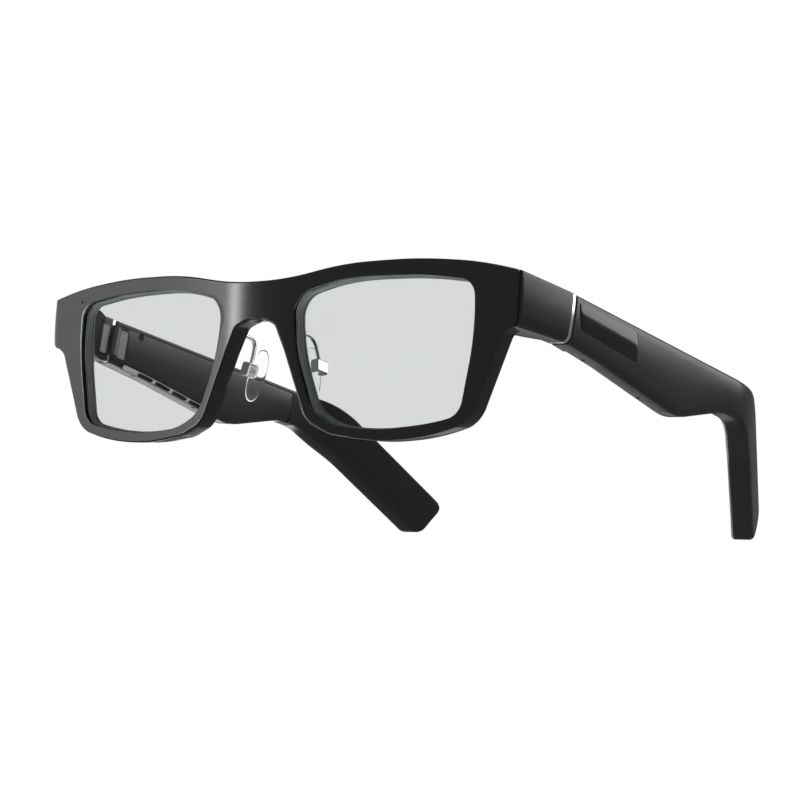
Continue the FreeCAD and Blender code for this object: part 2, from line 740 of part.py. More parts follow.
def leaf_screw(z, gap):
    """A small screw along X through the temple leaf, or its hole."""
    y = hinge_y + (LEAF_NECK + TEMPLE_LEAF_LENGTH) / 2.0
    head = Part.makeCylinder(0.8 + gap, 0.45 + gap, V(temple_inner_x - 0.01, y, z), V(1, 0, 0))
    shank = Part.makeCylinder(0.45 + gap, 3.2 + gap, V(temple_inner_x, y, z), V(1, 0, 0))
    return head.fuse(shank)


def hinge_temple_leaf():
    """The temple leaf with the middle knuckle."""
    leaf = temple_leaf_plate(0.0).fuse(knuckle(1))
    for z in leaf_screw_places():
        leaf = leaf.cut(leaf_screw(z, 0.02))
    return solid(leaf.cut(pin_hole()))


def hinge_leaf_screws():
    """The two screws of the temple leaf."""
    return Part.makeCompound([solid(leaf_screw(z, 0.0)) for z in leaf_screw_places()])


# ---- temples ----

def temple_profile():
    """The temple seen from the side."""
    drop = math.radians(TIP_DROP)
    shoulder_y = bend_y + 8.3
    end_top = (shoulder_y + TIP_LENGTH * math.cos(drop), -TIP_LENGTH * math.sin(drop))
    end_low = (end_top[0] - TIP_HEIGHT * math.sin(drop), end_top[1] - TIP_HEIGHT * math.cos(drop))
    return [
        (temple_front_y, 0.0), (shoulder_y, 0.0, 25.0), (end_top[0], end_top[1], 3.0),
        (end_low[0], end_low[1], 2.2), (bend_y + 12.3, -WAIST_DEPTH - 7.15, 40.0),
        (bend_y - 2.8, -WAIST_DEPTH, 14.0), (bend_y - 11.2, -WAIST_DEPTH, 16.0),
        (bend_y - BELLY_LEAD, -BELLY_DEPTH, 20.0), (temple_front_y + 15.4, -TEMPLE_FRONT_HEIGHT - 1.1, 80.0),
        (temple_front_y, -TEMPLE_FRONT_HEIGHT),
    ]


def temple_plan():
    """The temple seen from above: straight, then turned inwards behind the ear."""
    turn = math.radians(TIP_TURN)
    reach = TIP_LENGTH * 1.5
    step = V(-reach * math.sin(turn), reach * math.cos(turn), 0)
    inner_bend = bend_y - TIP_INNER_LEAD
    return [
        (temple_inner_x, temple_front_y), (temple_outer_x, temple_front_y), (temple_outer_x, bend_y, 37.0),
        (temple_outer_x + step.x, bend_y + step.y), (temple_inner_x + step.x, inner_bend + step.y),
        (temple_inner_x, inner_bend, 31.0),
    ]


def temple_form():
    """The left temple as one solid, long edges rounded and the inner lower edge bevelled."""
    side = prism("yz", temple_profile(), 0.0, FAR)
    body = solid(side.common(prism("xy", temple_plan(), -FAR, FAR)))
    bevel_end = bend_y - COVER_END

    def inner_low(edge):
        limits = edge.BoundBox
        return (limits.XMax < temple_inner_x + 0.01 and limits.XMin > temple_inner_x - 0.01
                and limits.ZMax < -WAIST_DEPTH + 0.5 and limits.YMax < bevel_end + 4.0 and limits.YLength > 0.1)

    def outer_low(edge):
        limits = edge.BoundBox
        return (limits.XMin > temple_outer_x - 0.01 and limits.ZMax < -WAIST_DEPTH + 0.5
                and limits.YLength > 0.1)

    edges = [edge for edge in body.Edges if inner_low(edge)]
    body = body.makeChamfer(INNER_EDGE, edges)
    return softened(body, TEMPLE_EDGE_ROUND, outer_low)


def cover_zone(gap):
    """The stretch of the inner side that the temple cover takes."""
    return box(temple_inner_x - 1.0, temple_inner_x + COVER_THICK + gap,
               temple_front_y + COVER_START - gap, bend_y - COVER_END + gap, -FAR, -COVER_TOP_MARGIN + gap)


def bay():
    """The hollow inside the temple for its electronics."""
    profile = prism("yz", grown(temple_profile(), -CASE_WALL), temple_inner_x + COVER_THICK,
                    temple_outer_x - CASE_WALL)
    limits = box(-FAR, FAR, temple_front_y + BAY_START, bend_y - BAY_END, -FAR, FAR)
    return profile.common(limits)


def touch_outline(gap):
    """The slanted panel on the temple's outer face, seen from the side."""
    start = temple_front_y + TOUCH_START
    slant = TOUCH_HEIGHT * 0.25
    end_fall = TOUCH_LENGTH * 0.045
    corners = [
        (start, TOUCH_TOP, 0.8), (start + TOUCH_LENGTH, TOUCH_TOP, 0.8),
        (start + TOUCH_LENGTH + slant, TOUCH_TOP - TOUCH_HEIGHT - end_fall, 0.8),
        (start + slant, TOUCH_TOP - TOUCH_HEIGHT, 0.8),
    ]
    return grown(corners, gap)


def core_form(gap):
    """The metal strip that stiffens the tip, or its slot."""
    drop = math.radians(TIP_DROP)
    start_y = bend_y + 10.5
    start_z = -WAIST_DEPTH - 2.6
    along = V(0, math.cos(drop), -math.sin(drop))
    across = V(0, math.sin(drop), math.cos(drop))
    half = CORE_WIDTH / 2.0 + gap
    first = V(0, start_y, start_z) - along * gap
    last = V(0, start_y, start_z) + along * (CORE_LENGTH + gap)
    outline = [first + across * half, last + across * half, last - across * half, first - across * half]
    strip = prism("yz", [(point.y, point.z, 0.4) for point in outline], 0.0, FAR)
    turn = math.radians(TIP_TURN)
    middle_x = (temple_inner_x + temple_outer_x) / 2.0
    step = V(-FAR * math.sin(turn), FAR * math.cos(turn), 0)
    side = V(math.cos(turn), math.sin(turn), 0) * (CORE_THICK / 2.0 + gap)
    root = V(middle_x, bend_y - 0.5, 0)
    plan = [root - side, root + side, root + side + step, root - side + step]
    return strip.common(prism("xy", [(point.x, point.y) for point in plan], -FAR, FAR))


def underside_fall():
    """How steeply the underside falls from the temple's front to its belly."""
    return (BELLY_DEPTH - TEMPLE_FRONT_HEIGHT) / (bend_y - BELLY_LEAD - temple_front_y)


def underside_z(y):
    """Height of the temple's underside in front of its belly, close to the drawn line."""
    return -TEMPLE_FRONT_HEIGHT + SLOT_LINE_LIFT - underside_fall() * (y - temple_front_y)


def speaker_slots(depth):
    """The row of sound slots through the bevelled lower inner edge."""
    slots = []
    for index in range(SLOT_COUNT):
        start = temple_front_y + SLOT_START + index * SLOT_PITCH
        middle = start + SLOT_LENGTH / 2.0
        low = underside_z(middle)
        half = SLOT_WIDTH / 2.0
        corners = [(-SLOT_LENGTH / 2, -half, half * 0.98), (SLOT_LENGTH / 2, -half, half * 0.98),
                   (SLOT_LENGTH / 2, half, half * 0.98), (-SLOT_LENGTH / 2, half, half * 0.98)]
        slot = prism("xz", corners, -1.2, depth)
        slot.rotate(V(0, 0, 0), V(0, 0, 1), -90.0)
        slot.rotate(V(0, 0, 0), V(1, 0, 0), -math.degrees(math.atan(underside_fall())))
        slot.rotate(V(0, 0, 0), V(0, 1, 0), -45.0)
        slot.translate(V(temple_inner_x + INNER_EDGE / 2.0, middle, low + INNER_EDGE / 2.0))
        slots.append(slot)
    return slots


def ports():
    """Two small microphone ports in the underside, near its inner edge."""
    x = temple_inner_x + INNER_EDGE + PORT_INSET
    cuts = []
    for start in PORT_STARTS:
        y = temple_front_y + start
        cuts.append(Part.makeCylinder(PORT_RADIUS, PORT_DEPTH + 1.0, V(x, y, underside_z(y) - 1.0)))
    return cuts


def battery():
    """The flat pouch cell behind the speaker."""
    low_x = temple_inner_x + COVER_THICK + MESH_THICK + FIT_GAP
    start = temple_front_y + BATTERY_START
    top = -CASE_WALL - BATTERY_SIZE[2] / 2.0 - 3.0
    cell = rounded_box((BATTERY_SIZE[0], BATTERY_SIZE[1], BATTERY_SIZE[2]),
                       (low_x + BATTERY_SIZE[0] / 2.0, start + BATTERY_SIZE[1] / 2.0, top), 1.0)
    return solid(cell.common(bay()))


def speaker():
    """The slim speaker above the sound slots."""
    low_x = temple_inner_x + COVER_THICK + MESH_THICK + FIT_GAP
    start = temple_front_y + SPEAKER_START
    low_z = -TEMPLE_FRONT_HEIGHT + CASE_WALL + 0.6
    high_x = low_x + SPEAKER_SIZE[0]
    body = box(low_x + 0.4, high_x, start, start + SPEAKER_SIZE[1], low_z, low_z + SPEAKER_SIZE[2])
    centre = V(low_x, start + SPEAKER_SIZE[1] / 2.0, low_z + SPEAKER_SIZE[2] / 2.0)
    dome = Part.makeCylinder(SPEAKER_SIZE[2] * 0.4, SPEAKER_SIZE[0] / 2.0, centre, V(1, 0, 0))
    return solid(body.fuse(dome).common(bay()))


def circuit_board():
    """The long board along the outer wall, with a row of chips."""
    high_x = temple_outer_x - CASE_WALL - FIT_GAP
    low_x = high_x - BOARD_THICK
    start = temple_front_y + BOARD_START
    top = -CASE_WALL - 0.6
    board = box(low_x, high_x, start, start + BOARD_LENGTH, top - BOARD_HEIGHT, top)
    return solid(board.common(bay()))


def speaker_mesh():
    """The dust mesh on the cover's inside, behind the sound slots."""
    start = temple_front_y + SLOT_START - 0.6
    length = (SLOT_COUNT - 1) * SLOT_PITCH + SLOT_LENGTH + 1.2
    strip = Part.makeBox(MESH_THICK, length, MESH_WIDTH, V(0.0, -length / 2.0, 0.0))
    strip.rotate(V(0, 0, 0), V(1, 0, 0), -math.degrees(math.atan(underside_fall())))
    middle = start + length / 2.0
    strip.translate(V(temple_inner_x + COVER_THICK, middle, underside_z(middle) + CASE_WALL + 0.5))
    return strip


def contact_place(index):
    """Centre of a charging contact on the left temple's inner face."""
    return V(temple_inner_x, temple_front_y + CONTACT_START + (index - 0.5) * CONTACT_PITCH,
             -BELLY_DEPTH / 2.0 + 1.0)


def charging_contact(index, gap):
    """One charging contact, flush with the inner face, or its hole."""
    return Part.makeCylinder(CONTACT_RADIUS + gap, CONTACT_DEPTH, contact_place(index), V(1, 0, 0))


def sensor_window(gap):
    """The wear sensor's round window near the top of the inner face, or its seat."""
    centre = V(temple_inner_x, temple_front_y + SENSOR_START, -SENSOR_DROP)
    return Part.makeCylinder(SENSOR_RADIUS + gap, SENSOR_DEPTH, centre, V(1, 0, 0))


def temple_case(form):
    """The outer shell of the temple with its tip."""
    body = form.cut(cover_zone(0.0)).cut(bay())
    touch = prism("yz", touch_outline(FIT_GAP), temple_outer_x - TOUCH_DEPTH, FAR)
    column = hinge_clearance()
    body = body.cut([touch, temple_leaf_plate(FIT_GAP), column, core_form(0.0)] + ports())
    for z in leaf_screw_places():
        body = body.cut(leaf_screw(z, 0.02))
    return solid(body)


def temple_cover(form, contacts, sensor):
    """The inner cover of the temple with the sound slots."""
    body = form.common(cover_zone(-FIT_GAP)).cut(bay())
    body = body.cut(speaker_slots(SLOT_DEPTH))
    if contacts:
        body = body.cut([charging_contact(index, 0.0) for index in range(2)])
    if sensor:
        body = body.cut(sensor_window(0.0))
    return solid(body)


def touch_panel():
    """The glossy slanted panel let into the outer face."""
    low_x = temple_outer_x - TOUCH_DEPTH
    return solid(prism("yz", touch_outline(0.0), low_x, low_x + TOUCH_THICK))


# ---- nose pads ----

def pad_frame(shape):
    """A piece drawn about the pad box's centre, splayed and put in place."""
    result = shape.copy()
    result.rotate(V(0, 0, 0), V(0, 1, 0), -PAD_SPLAY)
    result.translate(V(*PAD_BOX_CENTRE))
    return result


def pad_arm_wire():
    """The bent wire from the rear frame to the pad box."""
    foot = V(*ARM_FOOT)
    top = V(*ARM_TOP)
    end_local = V(0.0, 0.0, PAD_BOX[2] / 2.0 - 0.4)
    turn = math.radians(-PAD_SPLAY)
    end = V(end_local.x * math.cos(turn) + end_local.z * math.sin(turn), 0.0,
            -end_local.x * math.sin(turn) + end_local.z * math.cos(turn)) + V(*PAD_BOX_CENTRE)
    back = (foot - top).normalize()
    forth = (end - top).normalize()
    half_angle = back.getAngle(forth) / 2.0
    run = ARM_BEND_RADIUS / math.tan(half_angle)
    inward = (back + forth).normalize()
    middle = top + inward * (ARM_BEND_RADIUS / math.sin(half_angle) - ARM_BEND_RADIUS)
    path = Part.Wire([Part.LineSegment(foot, top + back * run).toShape(),
                      Part.Arc(top + back * run, middle, top + forth * run).toShape(),
                      Part.LineSegment(top + forth * run, end).toShape()])
    section = Part.Wire([Part.Circle(foot, back, ARM_RADIUS).toShape()])
    return path.makePipeShell([section], True, False)


def pad_box_outer():
    """The outside of the metal box that holds the pad."""
    return rounded_box(PAD_BOX, (0, 0, 0), 0.5)


def pad_box_form():
    """The box with its cavity open to the nose and the pin's hole."""
    depth = PAD_STUB[0] + PAD_STUB_GAP
    cavity = box(-PAD_BOX[0], -PAD_BOX[0] / 2.0 + depth, -PAD_STUB[1] / 2.0 - PAD_STUB_GAP,
                 PAD_STUB[1] / 2.0 + PAD_STUB_GAP, -PAD_BOX[2], PAD_BOX[2])
    hole = pad_pin_form(0.0)
    return pad_frame(pad_box_outer().cut(cavity).cut(hole))


def pad_pin_form(gap):
    """The cross pin, or its hole, before it is put in place."""
    return Part.makeCylinder(PAD_PIN_RADIUS + gap, PAD_BOX[1],
                             V(-PAD_BOX[0] / 2.0 + PAD_PIN_DEPTH - 0.35, -PAD_BOX[1] / 2.0, 0), V(0, 1, 0))


def nose_pad_arm():
    """The wire arm, cut where the box and the rear frame begin."""
    return solid(pad_arm_wire().cut(pad_frame(pad_box_outer())))


def nose_pad_box():
    """The metal pad box."""
    return solid(pad_box_form())


def nose_pad_pin():
    """The cross pin on which the pad rocks."""
    return solid(pad_frame(pad_pin_form(0.0)))


def nose_pad():
    """The soft pad: a rounded plate with a stub that enters the box."""
    half_w = PAD_WIDTH / 2.0
    half_l = PAD_LENGTH / 2.0
    corners = [(-half_w, -half_l, half_w * 0.96), (half_w, -half_l, half_w * 0.96),
               (half_w, half_l, half_w * 0.96), (-half_w, half_l, half_w * 0.96)]
    face_x = -PAD_BOX[0] / 2.0 - PAD_OFFSET
    plate = prism("yz", corners, face_x - PAD_THICK, face_x)
    plate.translate(V(0, PAD_BACK, -PAD_DROP))

    def rim_edge(edge):
        return edge.BoundBox.XLength < 0.01

    plate = softened(plate, PAD_THICK * 0.4, rim_edge)
    stub = box(face_x - 0.4, -PAD_BOX[0] / 2.0 + PAD_STUB[0], -PAD_STUB[1] / 2.0, PAD_STUB[1] / 2.0,
               -PAD_STUB[2] / 2.0, PAD_STUB[2] / 2.0)
    return solid(pad_frame(plate.fuse(stub).cut(pad_pin_form(0.03))))


# ---- assembly ----

def left_and_right(name, shape):
    """A pair of named pieces from the left one."""
    return {"left_" + name: shape, "right_" + name: mirrored(shape)}


def assemble():
    """Every piece in the level frame, by name."""
    form = temple_form()
    parts = {"front_frame": front_frame(), "rear_frame": rear_frame(), "bridge_flex_cable": bridge_flex(),
             "frame_screws": frame_screws()}
    pairs = {
        "cover_lens": cover_lens(), "lens_gasket": lens_gasket(), "waveguide": waveguide(),
        "rear_lens": rear_lens(), "light_engine": light_engine(), "engine_cover": engine_cover(),
        "microphone": microphone(), "trim_ring": trim_ring(), "hinge_front_leaf": hinge_front_leaf(),
        "hinge_screw": hinge_screw(), "hinge_temple_leaf": hinge_temple_leaf(),
        "hinge_leaf_screws": hinge_leaf_screws(), "temple_case": temple_case(form),
        "touch_panel": touch_panel(), "battery": battery(), "speaker": speaker(),
        "circuit_board": circuit_board(), "speaker_mesh": speaker_mesh(), "tip_core": core_form(0.0),
        "nose_pad_arm": nose_pad_arm(), "nose_pad_box": nose_pad_box(), "nose_pad_pin": nose_pad_pin(),
        "nose_pad": nose_pad(),
    }
    for name, shape in pairs.items():
        parts.update(left_and_right(name, shape))
    parts["left_temple_cover"] = temple_cover(form, True, False)
    parts["right_temple_cover"] = mirrored(temple_cover(form, False, True))
    parts["left_charging_contacts"] = Part.makeCompound([charging_contact(index, 0.0) for index in range(2)])
    parts["right_wear_sensor"] = mirrored(sensor_window(0.0))
    return parts


def lowest(shape, pitch):
    """The lowest height of a shape pitched back by some degrees."""
    turned = shape.copy()
    turned.rotate(V(0, 0, 0), V(1, 0, 0), -pitch)
    return turned.optimalBoundingBox(False, False).ZMin


def resting_pitch(front, temple):
    """The pitch at which the front and a temple touch one level plane, by halving."""
    low = 0.0
    high = 8.0
    for _ in range(16):
        middle = (low + high) / 2.0
        if lowest(front, middle) < lowest(temple, middle):
            low = middle
        else:
            high = middle
    return (low + high) / 2.0


def stand_up(parts):
    """Pitch and move every piece so that the object rests on z = 0, centred in x and y."""
    pitch = resting_pitch(parts["front_frame"], parts["left_temple_case"])
    for shape in parts.values():
        shape.rotate(V(0, 0, 0), V(1, 0, 0), -pitch)
    bounds = FreeCAD.BoundBox()
    for shape in parts.values():
        bounds.add(shape.optimalBoundingBox(False, False))
    shift = V(-bounds.Center.x, -bounds.Center.y, -bounds.ZMin)
    for shape in parts.values():
        shape.translate(shift)
    return pitch, shift


def main():
    """Build, place and write every piece."""
    parts = assemble()
    pitch, shift = stand_up(parts)
    os.makedirs("parts", exist_ok=True)
    for name, shape in parts.items():
        shape.exportStep("parts/" + name + ".step")
    return parts, pitch, shift


parts, pitch, shift = main()
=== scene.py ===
"""Smart glasses: the visible surfaces, finishes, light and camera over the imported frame."""

import logging
import math
from collections.abc import Callable
from dataclasses import dataclass, field
from enum import Enum

import bmesh
import bpy
import numpy as np
from mathutils import Matrix, Vector


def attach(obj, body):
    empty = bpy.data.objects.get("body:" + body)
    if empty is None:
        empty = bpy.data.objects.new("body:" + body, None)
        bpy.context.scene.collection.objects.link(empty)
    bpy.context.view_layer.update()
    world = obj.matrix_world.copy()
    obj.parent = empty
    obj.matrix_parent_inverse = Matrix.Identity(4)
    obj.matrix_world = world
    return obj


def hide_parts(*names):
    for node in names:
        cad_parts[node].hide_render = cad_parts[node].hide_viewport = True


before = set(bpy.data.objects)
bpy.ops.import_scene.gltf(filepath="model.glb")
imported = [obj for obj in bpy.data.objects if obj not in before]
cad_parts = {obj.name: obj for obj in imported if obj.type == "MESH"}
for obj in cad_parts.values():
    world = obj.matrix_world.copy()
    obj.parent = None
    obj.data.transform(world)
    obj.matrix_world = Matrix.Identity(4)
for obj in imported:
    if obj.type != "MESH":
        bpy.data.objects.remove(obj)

logging.basicConfig(level=logging.INFO, format="%(message)s")
log = logging.getLogger("glasses")

MM = 0.001
SIDES = {"left": 1.0, "right": -1.0}
Corner = tuple[float, ...]


# ---- plane curves ----


def corner_runs(points: np.ndarray, radii: np.ndarray, closed: bool) -> np.ndarray:
    """How far each corner's arc reaches along its sides: radius over the tangent of half the angle.

    Args:
        points: the corners, (n, 2).
        radii: one radius per corner.
        closed: whether the last corner joins the first.

    Returns:
        The reach at each corner, shortened where two arcs would meet.
    """
    back = np.roll(points, 1, axis=0) - points
    forth = np.roll(points, -1, axis=0) - points
    back_length = np.linalg.norm(back, axis=1)
    forth_length = np.linalg.norm(forth, axis=1)
    cosine = np.sum(back * forth, axis=1) / (back_length * forth_length)
    half = np.arccos(np.clip(cosine, -1.0, 1.0)) / 2.0
    runs = np.where(half < math.pi / 2.0 - 1e-4, radii / np.tan(np.maximum(half, 1e-6)), 0.0)
    if not closed:
        runs[0] = runs[-1] = 0.0
    limit = np.minimum(1.0, forth_length / np.maximum(runs + np.roll(runs, -1), 1e-9))
    return runs * np.minimum(limit, np.roll(limit, 1))


def rounded_path(corners: list[Corner], closed: bool, arc_points: int = 14) -> tuple[np.ndarray, np.ndarray]:
    """A polyline through rounded corners; each arc is its corner's tangent circle.

    Args:
        corners: (a, b) or (a, b, radius).
        closed: whether the last corner joins the first.
        arc_points: points on each arc.

    Returns:
        The points, and the length along the line to each corner's middle.
    """
    points = np.array([corner[:2] for corner in corners], float)
    radii = np.array([corner[2] if len(corner) > 2 else 0.0 for corner in corners], float)
    runs = corner_runs(points, radii, closed)
    line: list[np.ndarray] = []
    middles: list[int] = []
    for index, run in enumerate(runs):
        here = points[index]
        if run <= 1e-9:
            middles.append(sum(len(piece) for piece in line))
            line.append(here[None, :])
            continue
        back = points[index - 1] - here
        forth = points[(index + 1) % len(points)] - here
        start = here + back / np.linalg.norm(back) * run
        end = here + forth / np.linalg.norm(forth) * run
        line.append(arc_between(start, end, here, arc_points))
        middles.append(sum(len(piece) for piece in line) - arc_points // 2 - 1)
    joined = np.concatenate(line)
    along = np.concatenate([[0.0], np.cumsum(np.linalg.norm(np.diff(joined, axis=0), axis=1))])
    return joined, along[middles]


def swept(centre: np.ndarray, arm: np.ndarray, turn: np.ndarray) -> np.ndarray:
    """Where an arm from the centre ends when it is turned by each angle."""
    cosine, sine = np.cos(turn), np.sin(turn)
    return centre + np.stack([arm[0] * cosine - arm[1] * sine, arm[0] * sine + arm[1] * cosine], axis=1)


def arc_between(start: np.ndarray, end: np.ndarray, corner: np.ndarray, count: int) -> np.ndarray:
    """Points on the circle that touches both sides of a corner at start and end.

    Args:
        start: where the arc leaves the first side.
        end: where it meets the second side.
        corner: where the two sides cross.
        count: how many points.

    Returns:
        The points, (count, 2).
    """
    chord = (start + end) / 2.0
    half_chord = np.linalg.norm(end - start) / 2.0
    run = np.linalg.norm(start - corner)
    toward = (chord - corner) / max(np.linalg.norm(chord - corner), 1e-12)
    radius = run * half_chord / max(math.sqrt(max(run**2 - half_chord**2, 1e-18)), 1e-9)
    centre = corner + toward * math.hypot(run, radius)
    first = start - centre
    last = end - centre
    angle = math.atan2(first[0] * last[1] - first[1] * last[0], float(np.dot(first, last)))
    return swept(centre, first, np.linspace(0.0, angle, count))


def arc_through(first: Corner, middle: Corner, last: Corner, count: int) -> np.ndarray:
    """Points on the circle through three points, evenly turned about its centre.

    Args:
        first: the first point.
        middle: a point on the way.
        last: the last point.
        count: how many points.

    Returns:
        The points, (count, 2).
    """
    a, b, c = (np.array(point, float) for point in (first, middle, last))
    rows = 2.0 * np.array([b - a, c - a])
    centre = np.linalg.solve(rows, np.array([b @ b - a @ a, c @ c - a @ a]))
    start, end = a - centre, c - centre
    angle = math.atan2(start[0] * end[1] - start[1] * end[0], float(start @ end))
    return swept(centre, start, np.linspace(0.0, angle, count))


def lengths(line: np.ndarray) -> np.ndarray:
    """Length along a polyline at each of its points."""
    return np.concatenate([[0.0], np.cumsum(np.linalg.norm(np.diff(line, axis=0), axis=1))])


def between_marks(line: np.ndarray, marks: list[float], counts: list[int]) -> np.ndarray:
    """Points spread evenly in length between each mark and the next; the last mark is included.

    Args:
        line: the polyline.
        marks: lengths along it.
        counts: how many points from each mark up to the next.

    Returns:
        The points.
    """
    spans = zip(marks, marks[1:], counts)
    stops = [np.linspace(low, high, count, endpoint=False) for low, high, count in spans]
    wanted = np.concatenate(stops + [np.array([marks[-1]])])
    along = lengths(line)
    return np.stack([np.interp(wanted, along, line[:, axis]) for axis in range(line.shape[1])], axis=1)


def evenly(outline: np.ndarray, count: int) -> np.ndarray:
    """The points of a closed outline spread evenly in length, starting at its first point."""
    closed = np.concatenate([outline, outline[:1]])
    return between_marks(closed, [0.0, float(lengths(closed)[-1])], [count])[:-1]


def edge_normals(line: np.ndarray, closed: bool) -> np.ndarray:
    """Unit normals to the right of travel, from the mean direction of the two sides of each point.

    Args:
        line: the polyline, (n, 2).
        closed: whether its last point joins its first.

    Returns:
        One unit normal per point.
    """
    if closed:
        step = np.roll(line, -1, axis=0) - np.roll(line, 1, axis=0)
    else:
        step = np.gradient(line, axis=0)
    step /= np.maximum(np.linalg.norm(step, axis=1, keepdims=True), 1e-12)
    return np.stack([step[:, 1], -step[:, 0]], axis=1)


# ---- meshes ----


@dataclass(frozen=True)
class Stance:
    """How the level drawing, in millimetres, stands in the frame, in metres."""

    pitch: float = 2.28485
    shift: Corner = (0.0, -73.8841, 37.9223)

    def place(self, points: np.ndarray) -> np.ndarray:
        """Points turned back about X by the pitch, moved, and put in metres.

        Args:
            points: places in the level drawing, in millimetres.

        Returns:
            Places in the frame, in metres.
        """
        cosine, sine = math.cos(math.radians(self.pitch)), math.sin(math.radians(self.pitch))
        x, y, z = points[..., 0], points[..., 1], points[..., 2]
        turned = np.stack([x, y * cosine + z * sine, z * cosine - y * sine], axis=-1)
        return (turned + np.array(self.shift)) * MM

    def aim(self, vector: np.ndarray) -> np.ndarray:
        """A direction turned back about X by the pitch."""
        return (self.place(vector) - self.place(np.zeros(3))) / MM


STANCE = Stance()
DOUBLES, SLIVERS, ON_MIDDLE = 2e-6, 1e-7, 1e-8


def grid_faces(rows: int, columns: int, close_rows: bool, close_columns: bool) -> np.ndarray:
    """Quads (i, j), (i, j+1), (i+1, j+1), (i+1, j) of a grid, wrapped where it closes on itself.

    Args:
        rows: rows of the grid.
        columns: columns of the grid.
        close_rows: whether the last row joins the first.
        close_columns: whether the last column joins the first.

    Returns:
        Four vertex numbers per quad.
    """
    row = np.arange(rows if close_rows else rows - 1)[:, None]
    column = np.arange(columns if close_columns else columns - 1)[None, :]
    next_row = (row + 1) % rows
    next_column = (column + 1) % columns
    corners = [row * columns + column, row * columns + next_column,
               next_row * columns + next_column, next_row * columns + column]
    size = (row.size, column.size)
    return np.stack([np.broadcast_to(corner, size) for corner in corners], axis=-1).reshape(-1, 4)


@dataclass
class Shape:
    """Vertices and quads that several grids add to before they become one mesh."""

    vertices: list[np.ndarray] = field(default_factory=list)
    quads: list[np.ndarray] = field(default_factory=list)

    def add_grid(self, points: np.ndarray, close_rows: bool, close_columns: bool) -> "Shape":
        """Adds a (rows, columns, 3) grid of points in the level drawing frame.

        Args:
            points: the grid, in millimetres.
            close_rows: whether the last row joins the first.
            close_columns: whether the last column joins the first.

        Returns:
            This shape.
        """
        start = sum(len(part) for part in self.vertices)
        self.vertices.append(points.reshape(-1, 3))
        self.quads.append(grid_faces(points.shape[0], points.shape[1], close_rows, close_columns) + start)
        return self

    def mesh(self, name: str, cut_middle: bool = False, sharp: float = 38.0) -> bpy.types.Mesh:
        """The shape as a mesh in metres, doubles merged, poles closed, faces outwards.

        Args:
            name: the mesh's name.
            cut_middle: whether faces that lie in the plane x = 0 are dropped, so two halves become one.
            sharp: edges turned by more than this many degrees stay crisp.

        Returns:
            The finished mesh.
        """
        points = STANCE.place(np.concatenate(self.vertices))
        quads = np.concatenate(self.quads)
        if cut_middle:
            quads = quads[np.abs(points[quads][:, :, 0]).max(axis=1) > ON_MIDDLE]
        mesh = bpy.data.meshes.new(name)
        mesh.vertices.add(len(points))
        mesh.vertices.foreach_set("co", points.astype(np.float32).ravel())
        mesh.loops.add(quads.size)
        mesh.loops.foreach_set("vertex_index", quads.astype(np.int32).ravel())
        mesh.polygons.add(len(quads))
        mesh.polygons.foreach_set("loop_start", np.arange(0, quads.size, 4, dtype=np.int32))
        mesh.update(calc_edges=True)
        cleaned = bmesh.new()
        cleaned.from_mesh(mesh)
        bmesh.ops.remove_doubles(cleaned, verts=cleaned.verts, dist=DOUBLES)
        bmesh.ops.dissolve_degenerate(cleaned, edges=cleaned.edges, dist=SLIVERS)
        bmesh.ops.recalc_face_normals(cleaned, faces=cleaned.faces)
        cleaned.to_mesh(mesh)
        cleaned.free()
        mesh.polygons.foreach_set("use_smooth", np.ones(len(mesh.polygons), bool))
        mesh.set_sharp_from_angle(angle=math.radians(sharp))
        return mesh


def mirrored(points: np.ndarray, side: float) -> np.ndarray:
    """Points on the wearer's left for side 1, or their mirror image for side -1."""
    return points * np.array([side, 1.0, 1.0])


# ---- finishes ----


def new_group(name: str, inputs: list[tuple[str, str, object]],
              outputs: list[tuple[str, str]]) -> bpy.types.NodeTree:
    """An empty shader group with the named sockets.

    Args:
        name: the group's name.
        inputs: name, socket type and default of each input.
        outputs: name and socket type of each output.

    Returns:
        The group, holding only its input and output nodes.
    """
    group = bpy.data.node_groups.new(name, "ShaderNodeTree")
    for label, kind, default in inputs:
        socket = group.interface.new_socket(label, in_out="INPUT", socket_type=kind)
        if default is not None:
            socket.default_value = default
    for label, kind in outputs:
        group.interface.new_socket(label, in_out="OUTPUT", socket_type=kind)
    group.nodes.new("NodeGroupInput")
    group.nodes.new("NodeGroupOutput")
    return group


